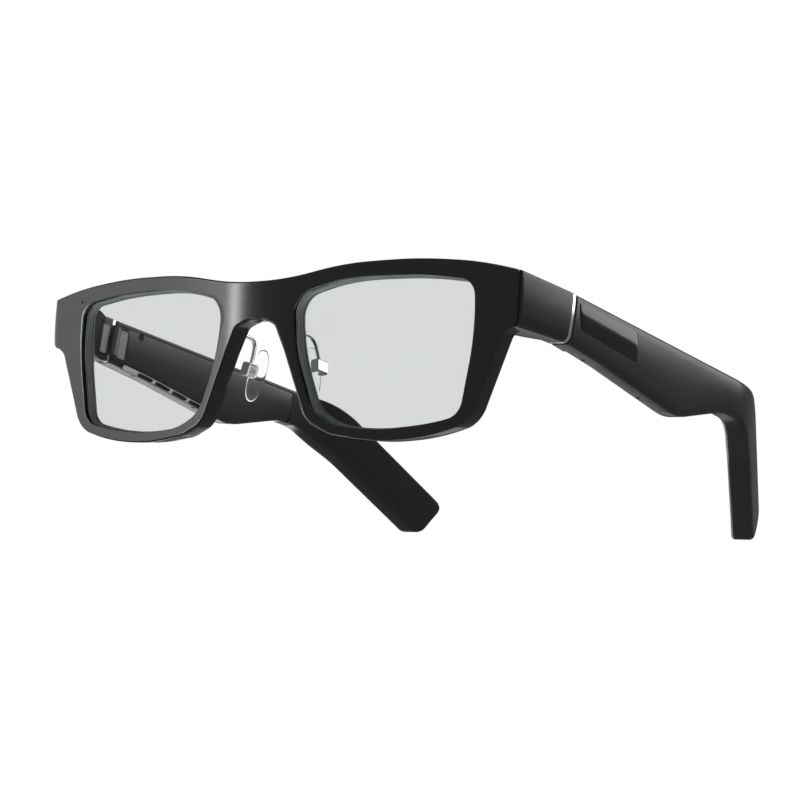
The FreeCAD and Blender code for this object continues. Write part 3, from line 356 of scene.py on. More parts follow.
def grain_group() -> bpy.types.NodeTree:
    """Moulded grain: fine noise for height, broad noise that shifts colour and roughness a little.

    Returns:
        The group.
    """
    group = new_group(
        "moulded_grain",
        [("Coordinate", "NodeSocketVector", None), ("Tint", "NodeSocketColor", (0.5, 0.5, 0.5, 1.0)),
         ("Shade", "NodeSocketColor", (0.4, 0.4, 0.4, 1.0)), ("Grain Scale", "NodeSocketFloat", 4000.0),
         ("Patch Scale", "NodeSocketFloat", 60.0), ("Roughness", "NodeSocketFloat", 0.4),
         ("Spread", "NodeSocketFloat", 0.05)],
        [("Color", "NodeSocketColor"), ("Roughness", "NodeSocketFloat"), ("Height", "NodeSocketFloat")])
    nodes, links = group.nodes, group.links
    source, sink = nodes["Group Input"], nodes["Group Output"]
    fine = nodes.new("ShaderNodeTexNoise")
    fine.inputs["Detail"].default_value = 3.0
    broad = nodes.new("ShaderNodeTexNoise")
    broad.inputs["Detail"].default_value = 2.0
    links.new(source.outputs["Coordinate"], fine.inputs["Vector"])
    links.new(source.outputs["Coordinate"], broad.inputs["Vector"])
    links.new(source.outputs["Grain Scale"], fine.inputs["Scale"])
    links.new(source.outputs["Patch Scale"], broad.inputs["Scale"])
    mix = nodes.new("ShaderNodeMix")
    mix.data_type = "RGBA"
    links.new(broad.outputs["Fac"], mix.inputs["Factor"])
    links.new(source.outputs["Tint"], mix.inputs["A"])
    links.new(source.outputs["Shade"], mix.inputs["B"])
    centred = nodes.new("ShaderNodeMath")
    centred.operation = "SUBTRACT"
    centred.inputs[1].default_value = 0.5
    links.new(broad.outputs["Fac"], centred.inputs[0])
    scaled = nodes.new("ShaderNodeMath")
    scaled.operation = "MULTIPLY_ADD"
    links.new(centred.outputs[0], scaled.inputs[0])
    links.new(source.outputs["Spread"], scaled.inputs[1])
    links.new(source.outputs["Roughness"], scaled.inputs[2])
    links.new(mix.outputs["Result"], sink.inputs["Color"])
    links.new(scaled.outputs[0], sink.inputs["Roughness"])
    links.new(fine.outputs["Fac"], sink.inputs["Height"])
    return group


def edge_wear_group() -> bpy.types.NodeTree:
    """Edge wear: convex edges, broken up by noise, mixed towards a worn colour and a worn roughness.

    Returns:
        The group.
    """
    group = new_group(
        "edge_wear",
        [("Coordinate", "NodeSocketVector", None), ("Color", "NodeSocketColor", (0.1, 0.1, 0.1, 1.0)),
         ("Worn Color", "NodeSocketColor", (0.2, 0.2, 0.2, 1.0)), ("Roughness", "NodeSocketFloat", 0.4),
         ("Worn Roughness", "NodeSocketFloat", 0.3), ("Amount", "NodeSocketFloat", 0.4)],
        [("Color", "NodeSocketColor"), ("Roughness", "NodeSocketFloat")])
    nodes, links = group.nodes, group.links
    source, sink = nodes["Group Input"], nodes["Group Output"]
    edge = nodes.new("ShaderNodeNewGeometry")
    ramp = nodes.new("ShaderNodeMapRange")
    ramp.inputs["From Min"].default_value = 0.52
    ramp.inputs["From Max"].default_value = 0.62
    links.new(edge.outputs["Pointiness"], ramp.inputs["Value"])
    breaks = nodes.new("ShaderNodeTexNoise")
    breaks.inputs["Scale"].default_value = 700.0
    links.new(source.outputs["Coordinate"], breaks.inputs["Vector"])
    mask = nodes.new("ShaderNodeMath")
    mask.operation = "MULTIPLY"
    links.new(ramp.outputs["Result"], mask.inputs[0])
    links.new(breaks.outputs["Fac"], mask.inputs[1])
    amount = nodes.new("ShaderNodeMath")
    amount.operation = "MULTIPLY"
    links.new(mask.outputs[0], amount.inputs[0])
    links.new(source.outputs["Amount"], amount.inputs[1])
    color = nodes.new("ShaderNodeMix")
    color.data_type = "RGBA"
    links.new(amount.outputs[0], color.inputs["Factor"])
    links.new(source.outputs["Color"], color.inputs["A"])
    links.new(source.outputs["Worn Color"], color.inputs["B"])
    rough = nodes.new("ShaderNodeMix")
    links.new(amount.outputs[0], rough.inputs["Factor"])
    links.new(source.outputs["Roughness"], rough.inputs["A"])
    links.new(source.outputs["Worn Roughness"], rough.inputs["B"])
    links.new(color.outputs["Result"], sink.inputs["Color"])
    links.new(rough.outputs["Result"], sink.inputs["Roughness"])
    return group


GRAIN = grain_group()
EDGE_WEAR = edge_wear_group()
COAT_ROUGHNESS = 0.06
WORN_GAIN, WORN_LIFT, WORN_POLISH = 1.8, 0.02, 0.75


class Kind(Enum):
    """What a finish is made of."""

    PLASTIC = "plastic"
    METAL = "metal"
    GLASS = "glass"


@dataclass(frozen=True)
class Finish:
    """One surface finish, with sizes of its grain in metres to the minus one."""

    name: str
    slot: str
    kind: Kind
    tint: tuple[float, float, float]
    shade: tuple[float, float, float]
    roughness: float
    spread: float = 0.06
    grain: float = 5000.0
    patch: float = 70.0
    bump: float = 0.05
    bump_depth: float = 0.00002
    worn: float = 0.3
    coat: float = 0.0
    ior: float = 1.5

    def material(self) -> bpy.types.Material:
        """The finish as a node material, built once.

        Returns:
            The material.
        """
        label = self.name + "_look"
        known = bpy.data.materials.get(label)
        if known is not None:
            return known
        material = bpy.data.materials.new(label)
        material.use_nodes = True
        nodes, links = material.node_tree.nodes, material.node_tree.links
        shader = nodes["Principled BSDF"]
        place = nodes.new("ShaderNodeTexCoord")
        grain = nodes.new("ShaderNodeGroup")
        grain.node_tree = GRAIN
        grain.inputs["Tint"].default_value = (*self.tint, 1.0)
        grain.inputs["Shade"].default_value = (*self.shade, 1.0)
        grain.inputs["Grain Scale"].default_value = self.grain
        grain.inputs["Patch Scale"].default_value = self.patch
        grain.inputs["Roughness"].default_value = self.roughness
        grain.inputs["Spread"].default_value = self.spread
        links.new(place.outputs["Object"], grain.inputs["Coordinate"])
        wear = nodes.new("ShaderNodeGroup")
        wear.node_tree = EDGE_WEAR
        lighter = tuple(min(1.0, value * WORN_GAIN + WORN_LIFT) for value in self.tint)
        wear.inputs["Worn Color"].default_value = (*lighter, 1.0)
        wear.inputs["Worn Roughness"].default_value = max(0.05, self.roughness * WORN_POLISH)
        wear.inputs["Amount"].default_value = self.worn
        links.new(place.outputs["Object"], wear.inputs["Coordinate"])
        links.new(grain.outputs["Color"], wear.inputs["Color"])
        links.new(grain.outputs["Roughness"], wear.inputs["Roughness"])
        links.new(wear.outputs["Color"], shader.inputs["Base Color"])
        links.new(wear.outputs["Roughness"], shader.inputs["Roughness"])
        bump = nodes.new("ShaderNodeBump")
        bump.inputs["Strength"].default_value = self.bump
        bump.inputs["Distance"].default_value = self.bump_depth
        links.new(grain.outputs["Height"], bump.inputs["Height"])
        links.new(bump.outputs["Normal"], shader.inputs["Normal"])
        shader.inputs["Metallic"].default_value = 1.0 if self.kind is Kind.METAL else 0.0
        shader.inputs["IOR"].default_value = self.ior
        shader.inputs["Coat Weight"].default_value = self.coat
        shader.inputs["Coat Roughness"].default_value = COAT_ROUGHNESS
        shader.inputs["Transmission Weight"].default_value = 1.0 if self.kind is Kind.GLASS else 0.0
        return material


def plastic(name: str, slot: str, grey: float, roughness: float, **more: float) -> Finish:
    """An even grey plastic, a trace bluer than neutral, whose shade is somewhat deeper than its tint."""
    tint = (grey, grey, grey * 1.03)
    return Finish(name, slot, Kind.PLASTIC, tint, tuple(value * 0.85 for value in tint), roughness, **more)


def metal(name: str, slot: str, tint: tuple[float, float, float], roughness: float, **more: float) -> Finish:
    """A metal whose patches are slightly duller than its tint."""
    return Finish(name, slot, Kind.METAL, tint, tuple(value * 0.9 for value in tint), roughness, **more)


def clear(name: str, slot: str, tint: tuple[float, float, float], roughness: float, ior: float) -> Finish:
    """A clear material, even all over but for a trace of haze."""
    return Finish(name, slot, Kind.GLASS, tint, tuple(value * 0.995 for value in tint), roughness,
                  spread=0.004, bump=0.0, worn=0.0, ior=ior)


SATIN = plastic("front_satin", "frame_black", 0.009, 0.13, spread=0.03, bump=0.006)
TEMPLE_SATIN = plastic("temple_satin", "temple_black", 0.010, 0.24, bump=0.015)
INNER_SATIN = plastic("inner_satin", "inner_black", 0.013, 0.34, bump=0.08)
COVER_SATIN = plastic("cover_satin", "cover_black", 0.013, 0.25, bump=0.015)
TOUCH_GLOSS = plastic("touch_gloss", "touch_gloss", 0.006, 0.11, bump=0.0, worn=0.1)
GASKET = plastic("gasket_foam", "gasket_foam", 0.012, 0.8, bump=0.4, bump_depth=0.00005)
# The near-black below is painted shade: it stands for the dark inside each port and slot.
PORT_SHADE = plastic("port_painted_shade", "frame_black", 0.002, 0.7, bump=0.3, grain=9000.0)
SENSOR = plastic("sensor_window", "sensor_window", 0.006, 0.08, bump=0.0, coat=0.5)
SPEAKER = plastic("speaker_shell", "speaker_black", 0.03, 0.5)
BOARD = Finish("solder_mask", "board_green", Kind.PLASTIC, (0.02, 0.13, 0.06), (0.01, 0.09, 0.04), 0.3)
FLEX = Finish("polyimide_film", "flex_amber", Kind.PLASTIC, (0.42, 0.2, 0.04), (0.35, 0.16, 0.03), 0.25)
BRIGHT_RING = metal("ring_polish", "ring_silver", (0.9, 0.9, 0.91), 0.12, bump=0.02)
HINGE = metal("hinge_steel", "hinge_steel", (0.3, 0.3, 0.31), 0.3, bump=0.15, grain=2500.0)
SCREW = metal("screw_steel", "screw_steel", (0.3, 0.3, 0.31), 0.28)
# The light grey below is a painted highlight: the strip along the temple's bevel stands for the light that
# the bevel catches.
BEVEL_HIGHLIGHT_BAR = plastic("bevel_highlight_bar", "mesh_steel", 0.5, 0.35, bump=0.02, worn=0.1)
MESH = metal("speaker_mesh", "mesh_steel", (0.08, 0.08, 0.08), 0.5, bump=0.6, grain=3500.0)
ENGINE = metal("engine_housing", "engine_metal", (0.25, 0.25, 0.26), 0.4)
CAN = metal("microphone_can", "mic_metal", (0.7, 0.66, 0.58), 0.25)
FOIL = metal("cell_foil", "battery_foil", (0.6, 0.61, 0.62), 0.35, bump=0.3, grain=900.0)
CORE = metal("core_spring", "core_steel", (0.55, 0.55, 0.56), 0.25)
GOLD = metal("contact_gold", "contact_gold", (0.85, 0.62, 0.28), 0.18)
WIRE = metal("pad_wire", "pad_wire", (0.8, 0.8, 0.81), 0.12)
PAD_BOX_METAL = metal("pad_box_polish", "pad_box_chrome", (0.85, 0.85, 0.86), 0.09)
COVER_GLASS = clear("cover_glass", "cover_glass", (0.895, 0.9, 0.9), 0.003, 1.1)
GUIDE_GLASS = clear("guide_glass", "guide_glass", (0.87, 0.882, 0.88), 0.003, 1.06)
REAR_GLASS = clear("rear_glass", "rear_glass", (0.885, 0.89, 0.892), 0.003, 1.06)
# The two lens-edge colours below: the edges' grey-green, lightened into a painted glint that stands for light
# caught in the glass edges; the paler one gives a painted light line.
GUIDE_EDGE_GLINT = Finish("guide_edge_glint", "guide_glass", Kind.PLASTIC, (0.36, 0.41, 0.4), (0.28, 0.32, 0.31), 0.3,
                    bump=0.1)
LENS_EDGE_GLINT = Finish("lens_edge_glint", "rear_glass", Kind.PLASTIC, (0.62, 0.66, 0.65), (0.52, 0.55, 0.54), 0.25,
                   bump=0.1)
FLOOR_PAPER = Finish("floor_paper", "", Kind.PLASTIC, (0.86, 0.86, 0.87), (0.83, 0.83, 0.84), 0.7, worn=0.0,
                     grain=200.0, patch=3.0)
SILICONE = clear("pad_silicone", "pad_silicone", (0.965, 0.968, 0.97), 0.01, 1.06)


def piece(mesh: bpy.types.Mesh, body: str, finish: Finish, *nodes: str) -> bpy.types.Object:
    """A mesh as a finished piece.

    Args:
        mesh: the mesh, in place.
        body: the body that it moves with.
        finish: its finish.
        nodes: the CAD nodes that it stands for.

    Returns:
        The new object.
    """
    made = bpy.data.objects.new(mesh.name, mesh)
    bpy.context.scene.collection.objects.link(made)
    mesh.materials.append(finish.material())
    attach(made, body)
    if nodes:
        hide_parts(*nodes)
    log.info("piece %s: %d faces on %s", mesh.name, len(mesh.polygons), body)
    return made


def dress(finish: Finish, *names: str) -> None:
    """Gives CAD nodes a finish, keeping their meshes as they are.

    Args:
        finish: the finish.
        names: the CAD nodes.
    """
    for name in names:
        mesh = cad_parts[name].data
        mesh.materials.clear()
        mesh.materials.append(finish.material())


# ---- the front ----


@dataclass
class FrontPlane:
    """The leaned, wrapped surface that the front's pieces are drawn on, in millimetres."""

    tilt: float = 9.6
    wrap: float = 3.3
    wrap_radius: float = 180.0
    setback: float = 0.6

    def wrapped_y(self, x: np.ndarray) -> np.ndarray:
        """Depth of the face at x: a circle about the middle, then its tangent.

        Args:
            x: places across the front.

        Returns:
            The depth at each.
        """
        angle = math.radians(self.wrap)
        reach = np.abs(x)
        line = reach * math.tan(angle) - self.wrap_radius * (1.0 / math.cos(angle) - 1.0)
        circle = self.wrap_radius - np.sqrt(np.maximum(self.wrap_radius**2 - reach**2, 1.0))
        return np.where(reach < self.wrap_radius * math.sin(angle), circle, line)

    def lean(self, x: np.ndarray, y: np.ndarray, z: np.ndarray) -> np.ndarray:
        """Points of the front's own frame turned about X by the tilt and set back.

        Args:
            x: places across.
            y: depths behind the upright face.
            z: heights.

        Returns:
            Points in the level drawing, (..., 3).
        """
        cosine, sine = math.cos(math.radians(self.tilt)), math.sin(math.radians(self.tilt))
        return np.stack([x, y * cosine - z * sine + self.setback, y * sine + z * cosine], axis=-1)

    def put(self, flat: np.ndarray, depth: float | np.ndarray) -> np.ndarray:
        """Outline points (x, z) at a depth behind the face."""
        return self.lean(flat[..., 0], self.wrapped_y(flat[..., 0]) + depth, flat[..., 1])


@dataclass
class FrontOutline:
    """The left half of the front: its lens opening, its outer line and how points pair between them."""

    plane: FrontPlane = field(default_factory=FrontPlane)
    nose: float = 11.2
    lens_width: float = 52.1
    lens_height: float = 35.85
    lens_top: float = -0.35
    endpiece: float = 11.1
    endpiece_height: float = 12.6
    crown: float = 3.5
    arch_top: float = -9.45
    arch_half: float = 6.0
    rim_bottom: float = 2.55
    columns: int = 760
    middle_columns: int = 30
    least_columns: int = 6
    lens_arc: int = 30
    outer_arc: int = 26
    tied_corners: tuple[int, ...] = (0, 2, 3, 5, 7, 8, 10, 12, 13, 16)
    shear_reach: float = 10.0
    top_corner_low: float = 0.3
    top_corner_pull: float = 10.0

    def __post_init__(self) -> None:
        """Samples both lines once."""
        self.side = self.nose + self.lens_width
        self.half = self.side + self.endpiece
        lens, _ = rounded_path(self.lens_corners(), True, self.lens_arc)
        lens = np.concatenate([lens, lens[:1]])
        outer, marks = rounded_path(self.outer_corners(), False, self.outer_arc)
        counts = self.spread(marks)
        self.outer = between_marks(outer, list(marks), counts)
        self.outer_normal = -edge_normals(self.outer, False)
        self.outer_normal[0] = (0.0, 1.0)
        self.outer_normal[-1] = (0.0, -1.0)
        self.middle_points = self.middle_columns - 1
        self.lens, self.lens_normal = self.pair(lens, marks, counts)

    def lens_corners(self) -> list[Corner]:
        """The opening's corners, clockwise from the top of the nose side.

        Returns:
            Corners as (x, z, radius).
        """
        top, low, nose, side = self.lens_top, self.lens_top - self.lens_height, self.nose, self.side
        return [
            (nose, top - 3.75, 6.3), (nose + 12.8, top - 0.55, 85.0), (nose + 21.8, top, 140.0),
            (side - 15.1, top - 0.25, 110.0), (side - 0.7, top - 2.25, 4.8), (side, top - 13.65, 70.0),
            (side - 3.5, low + 3.3, 5.6), (side - 12.3, low + 1.2, 90.0), (nose + 25.8, low, 60.0),
            (nose + 13.8, low + 1.2, 22.0), (nose + 6.7, low + 4.9, 9.0), (nose + 1.2, top - 17.15, 45.0),
        ]

    def outer_corners(self) -> list[Corner]:
        """The outer line from the top of the middle, round the side and below, to the top of the nose arch.

        Returns:
            Corners as (x, z, radius).
        """
        nose, side, low = self.nose, self.side, self.lens_top - self.lens_height
        return [
            (0.0, 0.0), (8.0, 0.0, 85.0), (nose + 15.3, self.crown - 0.25, 100.0),
            (side - 16.3, self.crown + 0.2, 150.0), (side + 0.7, self.crown - 1.25, 100.0),
            (self.half - 0.27, 0.0, 0.9), (self.half - 0.55, -self.endpiece_height, 2.2),
            (side + 6.9, -self.endpiece_height - 2.3, 3.0), (side - 1.1, low + 1.6, 8.0),
            (side - 12.3, low + 1.0 - self.rim_bottom, 60.0), (nose + 25.8, low - self.rim_bottom, 60.0),
            (nose + 12.3, low - 0.7, 12.0), (nose + 5.3, low + 2.3, 7.0),
            (nose - 1.9, self.arch_top - 7.75, 20.0),
            (self.arch_half, self.arch_top - 1.35, 2.2), (self.arch_half - 3.4, self.arch_top, 6.0),
            (0.0, self.arch_top),
        ]

    def spread(self, marks: np.ndarray) -> list[int]:
        """How many columns go between each corner and the next, by length."""
        share = np.diff(marks) / (marks[-1] - marks[0])
        return [max(self.least_columns, int(round(value * self.columns))) for value in share]

    def pair(self, lens: np.ndarray, marks: np.ndarray, counts: list[int]) -> tuple[np.ndarray, np.ndarray]:
        """Points of the opening paired with the outer line and the middle, and their outward normals.

        Each corner of the outer line is tied to the nearest point of the opening, and what lies
        between two ties is spread by length.

        Args:
            lens: the opening, closed.
            marks: lengths along the outer line to its corners; not used.
            counts: how many columns lie between them.

        Returns:
            Points of the opening and their outward unit normals.
        """
        starts = np.concatenate([[0], np.cumsum(counts)])
        used = self.tied_corners
        along = lengths(lens)
        total = along[-1]
        ties: list[float] = []
        for index in used:
            target = self.outer[starts[index]]
            nearest = along[:-1][np.argmin(np.linalg.norm(lens[:-1] - target, axis=1))]
            while ties and nearest < ties[-1] - 1e-6:
                nearest += total
            ties.append(float(nearest))
        wanted = []
        for first, last, low, high in zip(used, used[1:], ties, ties[1:]):
            wanted.append(np.linspace(low, high, starts[last] - starts[first], endpoint=False))
        wanted.append(np.linspace(ties[-1], ties[0] + total, self.middle_points + 1, endpoint=False))
        position = np.mod(np.concatenate(wanted), total)
        smooth = np.stack([np.interp(position, along, lens[:, axis]) for axis in range(2)], axis=1)
        around = edge_normals(lens[:-1], True)
        outward = -around if self.points_in(lens, around) else around
        outward = np.concatenate([outward, outward[:1]])
        normal = np.stack([np.interp(position, along, outward[:, axis]) for axis in range(2)], axis=1)
        return smooth, normal / np.linalg.norm(normal, axis=1, keepdims=True)

    def points_in(self, lens: np.ndarray, normal: np.ndarray) -> bool:
        """Whether normals of the opening point at its centre."""
        centre = lens[:-1].mean(axis=0)
        return bool(np.mean(np.sum((lens[:-1] - centre) * normal, axis=1)) < 0.0)

    def lens_line(self, growth: float) -> np.ndarray:
        """The opening moved outwards by some distance."""
        return self.lens + self.lens_normal * growth

    def outer_line(self, growth: float, depth: float) -> np.ndarray:
        """The outer line moved outwards and given the top's level shear at a depth, closed along the middle.

        The top edge is level in the drawing frame, so its height in the front's own frame falls
        with depth by the tangent of the tilt; the fall fades down the side wall.

        Args:
            growth: how far it is moved outwards.
            depth: how far behind the face it lies.

        Returns:
            Points (x, z), one per column.
        """
        line = self.outer + self.outer_normal * growth
        cosine = math.cos(math.radians(self.plane.tilt))
        sine = math.sin(math.radians(self.plane.tilt))
        off_corner = self.top_corner_pull * np.abs(self.outer[:, 1] + self.top_corner_low)
        corner = int(np.argmax(self.outer[:, 0] - off_corner))
        weight = np.clip(1.0 + line[:, 1] / self.shear_reach, 0.0, 1.0)
        weight[:corner] = 1.0
        weight[corner:][line[corner:, 0] < self.side] = 0.0
        level = (line[:, 1] - (self.plane.wrapped_y(line[:, 0]) + depth) * sine) / cosine
        height = weight * level + (1.0 - weight) * line[:, 1]
        edge = np.stack([line[:, 0], height], axis=1)
        share = np.linspace(0.0, 1.0, self.middle_points + 2)[1:-1, None]
        middle = edge[-1] + (edge[0] - edge[-1]) * share
        return np.concatenate([edge, middle])


def quarter(count: int) -> np.ndarray:
    """Angles of a quarter turn without its start."""
    return np.linspace(0.0, math.pi / 2.0, count + 1)[1:]


@dataclass
class FrontFrame:
    """The front shell, the inner frame behind it and both side blocks."""

    outline: FrontOutline
    depth: float = 5.0
    plate: float = 1.5
    wall: float = 0.9
    lip_depth: float = 0.62
    lip_round: float = 0.07
    face_round: float = 0.5
    back_round: float = 0.35
    face_rows: int = 9
    seat: float = 0.7
    wall_depths: tuple[float, ...] = (1.5, 3.0)
    inner_seat: float = 0.65
    inner_near: float = 2.95
    inner_inset: float = 0.04
    inner_gap: float = 0.02
    inner_round: float = 0.4
    inner_bend_start: float = 0.45
    inner_clearance: float = 0.05
    inner_face_rows: int = 5

    def put(self, line: np.ndarray, depth: float) -> np.ndarray:
        """A closed line of the outline at a depth."""
        return self.outline.plane.put(line, depth)

    def shell_rows(self) -> np.ndarray:
        """The shell's section, from the lens seat over the lip, face and wall and back inside, as rows.

        Returns:
            The grid, (rows, columns, 3).
        """
        lens, outer = self.outline.lens_line, self.outline.outer_line
        rows = [self.put(lens(self.seat), self.plate), self.put(lens(self.seat), self.lip_depth),
                self.put(lens(0.0), self.lip_depth), self.put(lens(0.0), self.lip_round)]
        for angle in quarter(4):
            rows.append(self.put(lens(self.lip_round * (1.0 - math.cos(angle))),
                                 self.lip_round * (1.0 - math.sin(angle))))
        inner_edge = lens(self.lip_round)
        outer_edge = outer(-self.face_round, 0.0)
        for share in np.linspace(0.0, 1.0, self.face_rows + 1)[1:]:
            rows.append(self.put(inner_edge + (outer_edge - inner_edge) * share, 0.0))
        for angle in quarter(5):
            reach = self.face_round * (1.0 - math.cos(angle))
            rows.append(self.put(outer(-self.face_round + self.face_round * math.sin(angle), reach), reach))
        for depth in (*self.wall_depths, self.depth - self.back_round):
            rows.append(self.put(outer(0.0, depth), depth))
        for angle in quarter(4):
            reach = self.depth - self.back_round * (1.0 - math.sin(angle))
            rows.append(self.put(outer(-self.back_round * (1.0 - math.cos(angle)), reach), reach))
        rows.append(self.put(outer(-self.wall, self.depth), self.depth))
        rows.append(self.put(outer(-self.wall, self.plate), self.plate))
        return np.stack(rows)

    def inner_rows(self) -> np.ndarray:
        """The inner frame's section: window wall, rounded rear edge, rear face and its hidden front.

        Returns:
            The grid, (rows, columns, 3).
        """
        lens, outer = self.outline.lens_line, self.outline.outer_line
        near, gap, bend = self.inner_near, self.inner_gap, self.inner_round
        far_depth = self.depth - self.inner_inset
        rim = -self.wall - self.inner_clearance
        rows = [self.put(lens(self.inner_seat), near), self.put(lens(gap), near),
                self.put(lens(gap), self.depth - self.inner_bend_start)]
        for angle in quarter(4):
            rows.append(self.put(lens(gap + bend * (1.0 - math.cos(angle))),
                                 far_depth - bend + bend * math.sin(angle)))
        start = lens(gap + bend)
        end = outer(rim, far_depth)
        for share in np.linspace(0.0, 1.0, self.inner_face_rows + 1)[1:]:
            rows.append(self.put(start + (end - start) * share, far_depth))
        rows.append(self.put(outer(rim, self.plate), self.plate))
        rows.append(self.put(lens(self.inner_seat), self.plate))
        return np.stack(rows)

    def build(self) -> None:
        """Makes the shell and the inner frame, each from two mirrored halves joined in the middle."""
        shell, inner = Shape(), Shape()
        for side in SIDES.values():
            shell.add_grid(mirrored(self.shell_rows(), side), True, True)
            inner.add_grid(mirrored(self.inner_rows(), side), True, True)
        piece(shell.mesh("front_shell", cut_middle=True), "front", SATIN, "front_frame")
        piece(inner.mesh("inner_frame", cut_middle=True), "front", INNER_SATIN, "rear_frame")


@dataclass
class Section:
    """A rounded four-sided section; inner is the side that faces the head, and outer faces away."""

    arc: int = 7
    outer_points: int = 9
    crown: float = 0.28
    widest_round: float = 0.48
    least_ledge: float = 0.01

    def ring(self, width: np.ndarray, height: np.ndarray, radii: np.ndarray, inset: np.ndarray,
             step: np.ndarray) -> tuple[np.ndarray, np.ndarray]:
        """Places round the section, across from the inner side and up from the bottom, in millimetres.

        The bottom runs outwards, the outer side up with a slight crown, the top back inwards,
        and the inner side down, with a ledge where a cover is let in.

        Args:
            width: width at each station.
            height: height at each station.
            radii: inner-bottom, outer-bottom, outer-top and inner-top radius at each station, (n, 4).
            inset: how far the inner side stands back below the ledge.
            step: how far below the top the ledge lies.

        Returns:
            The places across and up, each (stations, points).
        """
        radii = np.minimum(radii, (np.minimum(width - inset, height) * self.widest_round)[:, None])
        low_in, low_out, high_out, high_in = (radii[:, index][:, None] for index in range(4))
        width_, height_, inset_ = width[:, None], height[:, None], inset[:, None]
        turn = np.linspace(0.0, math.pi / 2.0, self.arc)
        lead, trail = 1.0 - np.sin(turn), 1.0 - np.cos(turn)
        share = np.linspace(0.0, 1.0, self.outer_points + 2)[1:-1]
        ledge = np.maximum(np.minimum(step[:, None], height_ * 0.5), high_in + self.least_ledge)
        across = np.concatenate([
            inset_ + low_in * trail, width_ - low_out * lead, np.repeat(width_, self.outer_points, axis=1),
            width_ - high_out * trail, high_in * lead, np.zeros_like(width_), inset_], axis=1)
        up = np.concatenate([
            low_in * lead, low_out * trail, low_out + (height_ - high_out - low_out) * share,
            height_ - high_out * lead, height_ - high_in * trail, height_ - ledge, height_ - ledge], axis=1)
        bulge = self.crown * (2.0 * up / height_ - 1.0) ** 2 * np.clip(2.0 * across / width_ - 1.0, 0.0, 1.0)
        return across - bulge, up


def with_caps(grid: np.ndarray, first: bool = True, last: bool = True) -> np.ndarray:
    """A tube of sections closed by poles at the middle of its end sections.

    Args:
        grid: sections, (stations, points, 3).
        first: whether the first section is closed.
        last: whether the last section is closed.

    Returns:
        The grid with its poles.
    """
    rows = [grid]
    if first:
        rows.insert(0, np.repeat(grid[:1].mean(axis=1, keepdims=True), grid.shape[1], axis=1))
    if last:
        rows.append(np.repeat(grid[-1:].mean(axis=1, keepdims=True), grid.shape[1], axis=1))
    return np.concatenate(rows)


